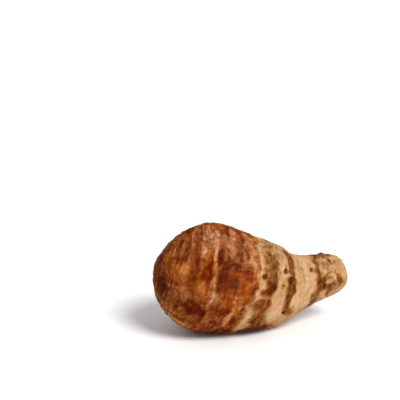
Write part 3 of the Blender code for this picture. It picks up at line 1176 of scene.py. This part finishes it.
@dataclass(frozen=True)
class DriedFinish:
    """A dull, dried plant surface: its coats of colour over a fine, bumpy grain."""

    name: str
    coats: Sequence[Coat]
    # How high each grain stands in mm, for what is too fine for the mesh.
    heights: Mapping[str, float]
    roughness: float = 0.85
    specular: float = 0.04

    def material(self) -> bpy.types.Material:
        """Builds the material. Every pattern reads the piece's own place, in mm."""
        made, shader = dull_material(self.name, self.roughness, self.specular)
        tree = made.node_tree
        signals = self.signals(tree)
        colour = None
        for coat in self.coats:
            colour = self.laid(tree, signals, coat, colour)
        tree.links.new(colour, shader.inputs["Base Color"])
        height = self.summed(tree, signals, self.heights)
        bump = add_node(tree, "ShaderNodeBump", {"Height": height, "Strength": 1.0, "Distance": MM})
        tree.links.new(bump.outputs["Normal"], shader.inputs["Normal"])
        return made

    def laid(
        self,
        tree: bpy.types.NodeTree,
        signals: Signals,
        coat: Coat,
        under: bpy.types.NodeSocket | None,
    ) -> bpy.types.NodeSocket:
        """Lays a coat over the colour under it.

        Args:
            tree: The material's node tree.
            signals: The sockets that the coat can read, by name.
            coat: The coat.
            under: The colour under it, or None for the first coat.

        Returns:
            The socket that gives the new colour.
        """
        shade = self.summed(tree, signals, coat.reads)
        colours = add_node(tree, "ShaderNodeValToRGB", {"Fac": shade})
        stops = colours.color_ramp.elements
        while len(stops) < len(coat.stops):
            stops.new(1.0)
        for stop, (place, hex_colour) in zip(stops, coat.stops):
            stop.position = place
            stop.color = linear(hex_colour)
        if under is None:
            return colours.outputs["Color"]
        where = self.summed(tree, signals, coat.where)
        share = add_node(
            tree,
            "ShaderNodeMapRange",
            {"Value": where, "From Min": coat.starts, "From Max": coat.full},
            interpolation_type="SMOOTHSTEP",
        )
        laid = add_node(
            tree,
            "ShaderNodeMix",
            {MIX_FACTOR: share.outputs["Result"], MIX_A: under, MIX_B: colours.outputs["Color"]},
            data_type="RGBA",
        )
        return laid.outputs[MIX_RESULT]

    def signals(self, tree: bpy.types.NodeTree) -> Signals:
        """Adds the nodes that give each attribute and each grain that the finish uses.

        Args:
            tree: The material's node tree.

        Returns:
            The socket of each, by name. A grain runs from about -1 to 1.
        """
        used = [*self.heights]
        for coat in self.coats:
            used += [*coat.reads, *coat.where]
        found: Signals = {}
        place = add_node(tree, "ShaderNodeAttribute", {}, attribute_name="skin_place")
        for name in dict.fromkeys(used):
            if name in GRAINS:
                # Each grain is read from a part of the noise of its own.
                apart = [len(found) * GRAINS_APART[0], GRAINS_APART[1], len(found) * GRAINS_APART[2]]
                found[name] = self.grain(tree, GRAINS[name], place.outputs["Vector"], apart)
            else:
                node = add_node(tree, "ShaderNodeAttribute", {}, attribute_name=name)
                found[name] = node.outputs["Fac"]
        return found

    @staticmethod
    def grain(
        tree: bpy.types.NodeTree, grain: Grain, place: bpy.types.NodeSocket, apart: Sequence[float]
    ) -> bpy.types.NodeSocket:
        """Adds the nodes of one grain.

        Args:
            tree: The material's node tree.
            grain: The grain.
            place: The socket that gives the place on the piece, in mm.
            apart: How far away the noise is read.

        Returns:
            The socket that gives the grain, from about -1 to 1, or from 0 to 1 for threads.
        """
        sizes = (1.0 / grain.round_mm, 1.0 / grain.round_mm, 1.0 / grain.along_mm)
        spread = add_node(
            tree, "ShaderNodeVectorMath", {0: place, 1: sizes, 2: apart}, operation="MULTIPLY_ADD"
        )
        texture = add_node(
            tree,
            "ShaderNodeTexNoise",
            {"Vector": spread.outputs[0], "Scale": 1.0, "Detail": grain.detail, "Roughness": 0.6},
        )
        # The noise's own 0 to 1, of which little lies past 0.25 and 0.75, becomes -1 to 1.
        centred = add_node(
            tree, "ShaderNodeMath", {0: texture.outputs["Fac"], 1: 4.0, 2: -2.0}, operation="MULTIPLY_ADD"
        )
        if not grain.threads:
            return centred.outputs[0]
        size = add_node(tree, "ShaderNodeMath", {0: centred.outputs[0]}, operation="ABSOLUTE")
        line = add_node(
            tree,
            "ShaderNodeMapRange",
            {"Value": size.outputs[0], "From Max": grain.thread_width, "To Min": 1.0, "To Max": 0.0},
            interpolation_type="SMOOTHSTEP",
        )
        return line.outputs["Result"]

    @staticmethod
    def summed(
        tree: bpy.types.NodeTree, signals: Signals, weights: Mapping[str, float]
    ) -> bpy.types.NodeSocket | float:
        """The weighted sum of the named signals."""
        total: bpy.types.NodeSocket | float = 0.0
        for name, weight in weights.items():
            node = add_node(
                tree, "ShaderNodeMath", {0: signals[name], 1: weight, 2: total}, operation="MULTIPLY_ADD"
            )
            total = node.outputs[0]
        return total


@dataclass(frozen=True)
class DriedSkin(DriedFinish):
    """Dried taro skin: papery brown bark at the bud end and corky tan rind on the neck.

    It grew, was rubbed in the soil and dried, so it is dull and uneven. The bark shows
    dark folds with pale frayed edges, and the rind is smooth with dark corky bands.
    """

    name: str = "dried_rubbed_taro_skin"
    coats: Sequence[Coat] = (
        # The bark: red-brown in the folds, and greyish tan where it frays.
        Coat(
            ((0.0, "#371004"), (0.14, "#4a1605"), (0.28, "#602408"), (0.42, "#773811"),
             (0.56, "#8c4e22"), (0.72, "#a06538"), (0.86, "#af7b54"), (1.0, "#bb8a66")),
            BARK_READS,
        ),
        Coat(
            ((0.0, "#2c0f05"), (0.25, "#55260f"), (0.5, "#7b4626"), (0.75, "#976442"), (1.0, "#ae8262")),
            BARK_READS, {"plum": 1.0, "patches": 0.2}, 0.2, 1.2,
        ),
        Coat(
            ((0.0, "#300a02"), (0.22, "#601b03"), (0.45, "#863a0d"), (0.7, "#a55a25"), (1.0, "#ba7f52")),
            BARK_READS, {"rust": 1.0, "patches": 0.2}, 0.2, 1.0,
        ),
        Coat(
            ((0.0, "#391303"), (0.22, "#6b2b05"), (0.45, "#95490f"), (0.7, "#b56a28"), (1.0, "#ca9057")),
            BARK_READS, {"amber": 1.0, "patches": 0.2}, 0.2, 1.1,
        ),
        # The rind, where there is no bark: brown in its bands, and tan where it is bare.
        Coat(
            ((0.0, "#3a1405"), (0.18, "#572608"), (0.34, "#713d15"), (0.5, "#8c5b31"),
             (0.64, "#a2784d"), (0.78, "#b68c62"), (1.0, "#d2ae87")),
            RIND_READS, {"bark": -1.0, "crumbs": 0.1}, -0.75, -0.25,
        ),
        Coat(
            ((0.0, "#3a1408"), (0.25, "#693618"), (0.5, "#935d38"), (0.75, "#b5835c"), (1.0, "#d4a984")),
            RIND_READS, {"plum": 1.0, "bark": -1.0}, 0.1, 1.1,
        ),
        Coat(
            ((0.0, "#3a1906"), (0.25, "#663b12"), (0.5, "#8f6232"), (0.75, "#b0895a"), (1.0, "#ceae80")),
            RIND_READS, {"amber": 1.0, "bark": -1.0}, 0.1, 1.1,
        ),
        Coat(
            ((0.0, "#52290b"), (0.25, "#673c17"), (0.5, "#84582d"), (0.75, "#a47b4f"), (1.0, "#c09b72")),
            RIND_READS, {"speckle": 1.0, "bark": -1.0}, 0.2, 1.2,
        ),
        Coat(
            ((0.0, "#3c1203"), (0.25, "#652a08"), (0.5, "#8b4b1f"), (0.75, "#ae774a"), (1.0, "#c99a72")),
            RIND_READS, {"rust": 1.0, "bark": -1.0}, 0.2, 1.2,
        ),
    )
    heights: Mapping[str, float] = field(
        default_factory=lambda: {"crumbs": 0.08, "fibres": 0.05, "web": 0.05, "lines": 0.04}
    )


@dataclass(frozen=True)
class LeafSheath(DriedFinish):
    """Leaf sheath that withered on the cormel: thin, papery and frayed.

    It dried from its edge inwards, so the free edge is bleached and the root is brown.
    """

    name: str = "withered_papery_leaf_sheath"
    coats: Sequence[Coat] = (
        Coat(
            ((0.0, "#2c1005"), (0.3, "#642c10"), (0.55, "#8b4f25"), (0.8, "#a26a40"), (1.0, "#b07c54")),
            {"shade": 1.0, "lines": 0.06, "crumbs": 0.05},
        ),
    )
    heights: Mapping[str, float] = field(default_factory=lambda: {"lines": 0.05, "crumbs": 0.05})


@dataclass(frozen=True)
class DryRoot(DriedFinish):
    """Fine roots that dried on the skin: wiry, brown, and paler where their bark wore off."""

    name: str = "dried_wiry_rootlet"
    coats: Sequence[Coat] = (
        Coat(((0.0, "#2e1206"), (0.5, "#7d4a24"), (1.0, "#b8895e")), {"shade": 1.0, "crumbs": 0.1}),
    )
    heights: Mapping[str, float] = field(default_factory=lambda: {"crumbs": 0.02})


def add_piece(mesh: bpy.types.Mesh, finish: DriedFinish) -> bpy.types.Object:
    """Sets a finished mesh in the scene under its own name, riding the cormel in its slot.

    Args:
        mesh: The piece's mesh, in metres.
        finish: What it is made of.

    Returns:
        The new object.
    """
    mesh.shade_smooth()
    mesh.update()
    mesh.materials.append(finish.material())
    piece = added(mesh.name, mesh)
    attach(piece, BODY)
    return piece


def write_values(mesh: bpy.types.Mesh, flat: np.ndarray, values: Mapping[str, np.ndarray]) -> None:
    """Writes each vertex's place on the skin and its other values, for the material.

    Args:
        mesh: The mesh that they are for.
        flat: Each vertex's place on the skin, in mm.
        values: A value for each vertex, by the attribute's name.
    """
    layer = mesh.attributes.new("skin_place", "FLOAT_VECTOR", "POINT")
    layer.data.foreach_set("vector", flat.astype(np.float32).ravel())
    for name, amount in values.items():
        layer = mesh.attributes.new(name, "FLOAT", "POINT")
        layer.data.foreach_set("value", amount.astype(np.float32))


@dataclass
class Skin:
    """The whole cormel's skin, in place of the plain solid.

    Its rows close up at the leaf scars. Each vertex carries its own place on the skin, its
    shade and how much of each tone it has, for the material to read.
    """

    form: CormelForm
    pattern: SkinPattern
    finish: DriedSkin = field(default_factory=DriedSkin)
    columns: int = 320
    row_gap_at_scar: float = 0.32
    row_gap: float = 0.48
    scar_reach: float = 1.2
    shift: np.ndarray = field(init=False)
    ground: float = field(init=False)

    def rows(self) -> np.ndarray:
        """The distances over the surface at which the mesh has a row."""
        rows = [0.0]
        while rows[-1] < self.form.length:
            nearest = min(abs(rows[-1] - ring) for ring in self.form.rings)
            gap = self.row_gap_at_scar if nearest < self.scar_reach else self.row_gap
            rows.append(rows[-1] + gap)
        rows[-1] = self.form.length
        return np.array(rows)

    def spin(self) -> bpy.types.Mesh:
        """Spins the straight form. Each vertex keeps its distance over the surface.

        Returns:
            The spun mesh, in mm, with the distance in an attribute named over.
        """
        body = bmesh.new()
        over = body.verts.layers.float.new("over")
        rows = self.rows()
        outline = []
        for place, along, radius in zip(rows, *self.form.outline_at(rows)):
            vertex = body.verts.new((along, -radius, 0.0))
            vertex[over] = place
            outline.append(vertex)
        edges = [body.edges.new(pair) for pair in zip(outline, outline[1:])]
        bmesh.ops.spin(
            body,
            geom=outline + edges,
            cent=(0.0, 0.0, 0.0),
            axis=(-1.0, 0.0, 0.0),
            angle=math.tau,
            steps=self.columns,
            use_merge=True,
        )
        bmesh.ops.remove_doubles(body, verts=body.verts, dist=1e-4)
        bmesh.ops.recalc_face_normals(body, faces=body.faces)
        return finished_mesh(body, f"{NODE}_skin")

    def set_down(self, over: np.ndarray, angle: np.ndarray) -> None:
        """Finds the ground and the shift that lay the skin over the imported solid.

        Args:
            over: The mesh's distances over the surface.
            angle: How far round each vertex is, in radians.
        """
        place, outward, radius = self.form.smooth_skin(over, angle)
        self.ground = float(place[:, 2].min()) + self.form.rest_cut
        lips, grooves = self.form.scars(over, angle)
        swelling = self.form.swelling_height(over, angle, radius)
        height = (lips - grooves + swelling) * self.form.fade(radius) * self.clear(place)
        solid = place + outward * height[:, None]
        low, high = (np.array(corner) / MM for corner in CAD_BOX)
        self.shift = (low + high - solid.min(axis=0) - solid.max(axis=0)) / 2.0
        self.shift[2] = low[2] - self.ground

    def clear(self, place: np.ndarray) -> np.ndarray:
        """0 where the skin lies on the ground, rising to 1 where its relief stands clear."""
        return np.clip((place[:, 2] - self.ground) / self.form.worn_height, 0.0, 1.0)

    def laid_on(
        self, over: np.ndarray, angle: np.ndarray, lift: np.ndarray | float = 0.0
    ) -> tuple[np.ndarray, np.ndarray, Surface]:
        """The finished skin's points, once it is set down.

        Args:
            over: The distance over the surface.
            angle: How far round, in radians.
            lift: How far over the skin each point is wanted, in mm.

        Returns:
            The points in mm, the way out of the skin at each, and the surface there.
        """
        place, outward, _ = self.form.smooth_skin(over, angle)
        surface = self.pattern.at(over, angle)
        place = place + outward * (surface.height * self.clear(place) + lift)[:, None]
        place[:, 2] = np.maximum(place[:, 2], self.ground)
        return place + self.shift, outward, surface

    def build(self) -> bpy.types.Object:
        """Makes the skin's object, and writes what its material reads."""
        mesh = self.spin()
        over = taken_values(mesh, "over")
        straight = vertex_places(mesh)
        angle = np.arctan2(straight[:, 2], -straight[:, 1])
        self.set_down(over, angle)
        place, _, surface = self.laid_on(over, angle)
        mesh.vertices.foreach_set("co", (place * MM).astype(np.float32).ravel())
        values = {tone.value: surface.tones[tone] for tone in SHOWN_TONES}
        flat = self.form.places(over, angle).flat
        write_values(mesh, flat, {"shade": surface.shade, **values})
        skin = add_piece(mesh, self.finish)
        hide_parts(NODE)
        return skin


@dataclass
class SheathRags:
    """Rags of withered leaf sheath that still stand on the leaf scars of the bark.

    Each is a thin strip along its scar. Its root sinks into the skin, and its ragged free
    edge points to the bud and lifts off a little. They come by chance, but none stands in
    a bare place: from and to over the surface in mm, and from and to round it in degrees.
    """

    skin: Skin
    finish: LeafSheath = field(default_factory=LeafSheath)
    per_ring: int = 6
    steps_round: int = 14
    steps_wide: int = 4
    half_degrees: tuple[float, float] = (4.0, 15.0)
    width: tuple[float, float] = (0.7, 2.0)
    lift: tuple[float, float] = (0.15, 0.6)
    thickness: float = 0.07
    least_lift: float = 0.02
    sunk: float = 0.1
    # The root lies this far on the neck's side of the scar.
    root_past: float = 0.25
    # Rags on smaller rings, near the bud, are narrower and go further round.
    full_ring: float = 16.0
    least_ring_share: float = 0.35
    least_width_share: float = 0.4
    taper: float = 0.92
    # How wide a rag is on average, how much more or less it is, and how wide at least.
    torn_mean: float = 0.75
    torn_swing: float = 0.6
    torn_least: float = 0.15
    crumpled_mean: float = 0.5
    crumpled_swing: float = 0.9
    paler: float = 0.03
    edge_paler: float = 0.22
    crumpled_paler: float = 0.1
    bare: tuple[float, float, float, float] = (36.0, 57.0, -30.0, 45.0)
    seed: int = 233
    # The noises that tear and crumple the rags, and how fast each is read along a rag and
    # from rag to rag.
    torn_seed: int = 71
    torn_pace: tuple[float, float, float] = (0.35, 3.1, 0.7)
    crumpled_seed: int = 72
    crumpled_pace: tuple[float, float, float] = (9.0, 0.8, 1.9)

    def drawn(self) -> np.ndarray:
        """Draws the rags by chance, and leaves out those in the bare place.

        Returns:
            A column for each rag: its number, its leaf scar's distance over the surface,
            its middle in radians, its half length in degrees, its width and its lift.
        """
        draw = np.random.default_rng(self.seed)
        rings = [ring for ring in self.skin.form.rings if ring < self.skin.pattern.bark_ends]
        scars = np.repeat(np.array(rings), self.per_ring)
        spans = ((-math.pi, math.pi), self.half_degrees, self.width, self.lift)
        chances = [draw.uniform(low, high, len(scars)) for low, high in spans]
        bare_from, bare_to, bare_low, bare_high = self.bare
        turned = np.degrees(chances[0])
        bare = (scars > bare_from) & (scars < bare_to) & (turned > bare_low) & (turned < bare_high)
        return np.array([np.arange(len(scars)), scars, *chances])[:, ~bare]

    def build(self) -> bpy.types.Object:
        """Makes all the rags as one piece."""
        rags = self.drawn()
        body = bmesh.new()
        for _ in rags[0]:
            bmesh.ops.create_grid(
                body, x_segments=self.steps_round, y_segments=self.steps_wide, size=1.0
            )
        grid = np.array([vertex.co[:] for vertex in body.verts])
        each = len(grid) // rags.shape[1]
        number, ring, middle, half, width, lift = np.repeat(rags, each, axis=1)
        aside, out = grid[:, 0], (1.0 - grid[:, 1]) / 2.0
        sized = np.minimum(1.0, ring / self.full_ring)
        angle = middle + np.radians(half) * aside / np.maximum(sized, self.least_ring_share)
        torn = np.stack([aside * half, number, number], -1) * self.torn_pace
        torn = self.torn_mean + self.torn_swing * skin_noise(torn, self.torn_seed, 2)
        narrowed = self.least_width_share + (1.0 - self.least_width_share) * sized
        reach = width * (1.0 - self.taper * np.abs(aside) ** 2.5)
        reach = reach * np.maximum(torn, self.torn_least) * narrowed
        over = ring + self.root_past - reach * out
        crumpled = np.stack([angle, over, number], -1) * self.crumpled_pace
        crumpled = skin_noise(crumpled, self.crumpled_seed, 2)
        raised = lift * out * (self.crumpled_mean + self.crumpled_swing * crumpled)
        raised = raised * (1.0 - np.abs(aside) ** 3)
        height = np.maximum(raised, self.least_lift) * np.minimum(1.0, out * 4.0)
        place, _, surface = self.skin.laid_on(over, angle, height - self.sunk * (1.0 - out) ** 2)
        # The ground presses the lowest ones flat, so that none goes through it.
        place[:, 2] = np.maximum(place[:, 2], self.thickness)
        move_vertices(body, place)
        shade = surface.shade + self.paler + self.edge_paler * out + self.crumpled_paler * crumpled
        tint = body.verts.layers.float.new("tint")
        for vertex, amount in zip(body.verts, np.clip(shade, 0.0, 1.0).tolist()):
            vertex[tint] = amount
        bmesh.ops.recalc_face_normals(body, faces=body.faces)
        bmesh.ops.solidify(body, geom=body.faces[:], thickness=self.thickness * MM)
        bmesh.ops.recalc_face_normals(body, faces=body.faces)
        mesh = finished_mesh(body, f"{NODE}_sheath_rags")
        values = {"shade": taken_values(mesh, "tint")}
        write_values(mesh, vertex_places(mesh)[:, [1, 2, 0]] / MM, values)
        return add_piece(mesh, self.finish)


@dataclass
class RootletPaths:
    """The way that each rootlet takes over the skin, with a value for each in every field.

    Start is over the surface and angle is round it, in radians. Heading is the way that it
    sets out in, in radians from the neck's way, and bend is how much that turns in all.
    """

    form: CormelForm
    start: np.ndarray
    angle: np.ndarray
    heading: np.ndarray
    length: np.ndarray
    thickness: np.ndarray
    lift: np.ndarray
    bend: np.ndarray
    tint: np.ndarray
    sunk: float = 0.12
    # How many radians of a sine's arch it rises and falls over its length.
    arch: float = 2.6
    least_radius: float = 4.0

    def at(self, root: np.ndarray, share: np.ndarray) -> tuple[np.ndarray, np.ndarray, np.ndarray]:
        """Where some rootlets are.

        Args:
            root: Which rootlets, by number.
            share: The share of its length at which each is wanted.

        Returns:
            The distance over the surface, the angle round it and the height over the skin.
        """
        way = self.heading[root] + self.bend[root] * share
        moved = self.length[root] * share
        radius = np.maximum(self.form.outline_at(self.start)[1], self.least_radius)[root]
        over = np.clip(self.start[root] + moved * np.cos(way), 1.0, self.form.length - 1.0)
        rise = self.lift[root] * np.sin(share * self.arch) + self.thickness[root] * 0.5
        return over, self.angle[root] + moved * np.sin(way) / radius, rise - self.sunk * (1.0 - share) ** 4


@dataclass
class Rootlets:
    """Fine dry roots that lie on the skin, most of them on the bark.

    Each starts in the skin, bends as it goes, and ends a little above it.
    """

    skin: Skin
    finish: DryRoot = field(default_factory=DryRoot)
    on_bark: int = 130
    on_neck: int = 24
    sides: int = 3
    steps: int = 9
    tip_share: float = 0.35
    length: tuple[float, float] = (2.5, 9.0)
    thickness: tuple[float, float] = (0.06, 0.13)
    lift: tuple[float, float] = (0.05, 0.7)
    # None starts this near to the bud pole or to the neck's end.
    kept_off: tuple[float, float] = (5.0, 4.0)
    swing: float = 0.9
    bend: float = 1.3
    tint: tuple[float, float] = (-0.15, 0.2)
    # How far ahead a rootlet is looked at for the way that it goes, as a share of its length.
    look_ahead: float = 0.04
    seed: int = 8

    def template(self) -> bpy.types.Mesh:
        """One straight rootlet: a slim cone of a few sides, cut into steps along its length."""
        body = bmesh.new()
        bmesh.ops.create_cone(
            body, cap_ends=True, segments=self.sides, radius1=1.0, radius2=self.tip_share, depth=1.0
        )
        long_edges = [edge for edge in body.edges if abs(edge.verts[0].co.z - edge.verts[1].co.z) > 0.5]
        bmesh.ops.subdivide_edges(body, edges=long_edges, cuts=self.steps - 1)
        return finished_mesh(body, "rootlet")

    def drawn(self) -> RootletPaths:
        """Draws the rootlets' ways by chance. Most run round the cormel."""
        draw = np.random.default_rng(self.seed)
        form, bark_ends = self.skin.form, self.skin.pattern.bark_ends
        count = self.on_bark + self.on_neck
        start = np.concatenate([
            draw.uniform(self.kept_off[0], bark_ends, self.on_bark),
            draw.uniform(bark_ends, form.length - self.kept_off[1], self.on_neck),
        ])
        angle = draw.uniform(-math.pi, math.pi, count)
        heading = draw.normal(math.pi / 2.0, self.swing, count)
        heading += draw.integers(0, 2, count) * math.pi
        sizes = [draw.uniform(*span, count) for span in (self.length, self.thickness, self.lift)]
        bend = draw.normal(0.0, self.bend, count)
        return RootletPaths(form, start, angle, heading, *sizes, bend, draw.uniform(*self.tint, count))

    def build(self) -> bpy.types.Object:
        """Makes all the rootlets as one piece."""
        paths = self.drawn()
        template = self.template()
        body = bmesh.new()
        for _ in paths.start:
            body.from_mesh(template)
        bpy.data.meshes.remove(template)
        straight = np.array([vertex.co[:] for vertex in body.verts])
        count = len(paths.start)
        root = np.repeat(np.arange(count), len(straight) // count)
        share = straight[:, 2] + 0.5
        over, angle, lift = paths.at(root, share)
        place, outward, surface = self.skin.laid_on(over, angle, lift)
        ahead, _, _ = self.skin.laid_on(*paths.at(root, share + self.look_ahead))
        forward = ahead - place
        forward /= np.linalg.norm(forward, axis=1, keepdims=True) + 1e-9
        side = np.cross(forward, outward)
        side /= np.linalg.norm(side, axis=1, keepdims=True) + 1e-9
        up = np.cross(side, forward)
        slim = paths.thickness[root][:, None]
        place = place + side * straight[:, :1] * slim + up * straight[:, 1:2] * slim
        place[:, 2] = np.maximum(place[:, 2], 0.0)
        move_vertices(body, place)
        bmesh.ops.recalc_face_normals(body, faces=body.faces)
        mesh = finished_mesh(body, f"{NODE}_rootlets")
        tint = np.clip(surface.shade + paths.tint[root], 0.0, 1.0)
        write_values(mesh, self.skin.form.places(over, angle).flat, {"shade": tint})
        return add_piece(mesh, self.finish)


@dataclass(frozen=True)
class WhiteBoard:
    """Matt white studio board, so pale that only the soft shadow shows on it."""

    colour: str = "#f7f7f7"
    roughness: float = 0.9
    specular: float = 0.1

    def material(self) -> bpy.types.Material:
        """Builds the material."""
        made, shader = dull_material("matt_white_board", self.roughness, self.specular)
        shader.inputs["Base Color"].default_value = linear(self.colour)
        return made


@dataclass
class Studio:
    """The plain pale floor, the soft light and the camera at the photo's viewing angle."""

    azimuth: float = -18.0
    elevation: float = 12.0
    distance: float = 0.466
    lens: float = 85.0
    sensor: float = 36.0
    frame_px: float = 400.0
    cormel_px: tuple[float, float] = (251.75, 273.5)
    floor_side: float = 300.0
    sky: float = 0.55
    sun_power: float = 3.1
    sun_from: tuple[float, float, float] = (0.25, -0.72, 0.75)
    sun_spread: float = 25.0

    def back(self) -> Vector:
        """The direction from what the camera looks at to the camera."""
        azimuth, elevation = math.radians(self.azimuth), math.radians(self.elevation)
        level = math.cos(elevation)
        return Vector((math.sin(azimuth) * level, -math.cos(azimuth) * level, math.sin(elevation)))

    def build_camera(self) -> None:
        """Sets the camera so that the cormel's middle lies at its place in the frame."""
        low, high = (Vector(corner) for corner in CAD_BOX)
        back = self.back()
        right = Vector((-back.y, back.x, 0.0)).normalized()
        up = back.cross(right)
        metres_per_px = self.distance * self.sensor / self.lens / self.frame_px
        across, down = (place - self.frame_px / 2.0 for place in self.cormel_px)
        target = (low + high) / 2.0 - right * across * metres_per_px + up * down * metres_per_px
        data = bpy.data.cameras.new("camera")
        data.lens = self.lens
        data.sensor_width = self.sensor
        data.clip_start = 0.01
        data.clip_end = 1000.0
        camera = added("camera", data)
        camera.location = target + back * self.distance
        camera.rotation_mode = "QUATERNION"
        camera.rotation_quaternion = back.to_track_quat("Z", "Y")
        bpy.context.scene.camera = camera

    def build_floor(self) -> None:
        """Lays the floor that the cormel rests on."""
        sheet = bmesh.new()
        bmesh.ops.create_grid(sheet, x_segments=1, y_segments=1, size=self.floor_side / 2.0)
        mesh = finished_mesh(sheet, "floor")
        mesh.materials.append(WhiteBoard().material())
        added("floor", mesh)

    def build_lights(self) -> None:
        """Adds a white sky all round and one wide soft light above.

        Behind the floor, the camera sees the sky as white as the floor is.
        """
        world = bpy.data.worlds.new("white_studio")
        world.use_nodes = True
        tree = world.node_tree
        background = tree.nodes["Background"]
        background.inputs["Color"].default_value = (1.0, 1.0, 1.0, 1.0)
        seen = add_node(tree, "ShaderNodeLightPath", {}).outputs["Is Camera Ray"]
        power = add_node(
            tree, "ShaderNodeMath", {0: seen, 1: 1.0 - self.sky, 2: self.sky}, operation="MULTIPLY_ADD"
        )
        tree.links.new(power.outputs[0], background.inputs["Strength"])
        bpy.context.scene.world = world
        data = bpy.data.lights.new("key", "SUN")
        data.energy = self.sun_power
        data.angle = math.radians(self.sun_spread)
        key = added("key", data)
        key.rotation_mode = "QUATERNION"
        key.rotation_quaternion = Vector(self.sun_from).to_track_quat("Z", "Y")
        bpy.context.scene.view_settings.view_transform = "Standard"

    def build(self) -> None:
        """Sets up the whole studio."""
        self.build_camera()
        self.build_floor()
        self.build_lights()


def main() -> None:
    """Dresses the cormel, sets up the studio and reports each piece."""
    logging.basicConfig(level=logging.INFO, format="%(name)s: %(message)s")
    form = CormelForm()
    skin = Skin(form, SkinPattern(form))
    for part in (skin, SheathRags(skin), Rootlets(skin)):
        piece = part.build()
        LOG.info("%s: %d faces", piece.name, len(piece.data.polygons))
    Studio().build()


if __name__ == "__main__":
    main()
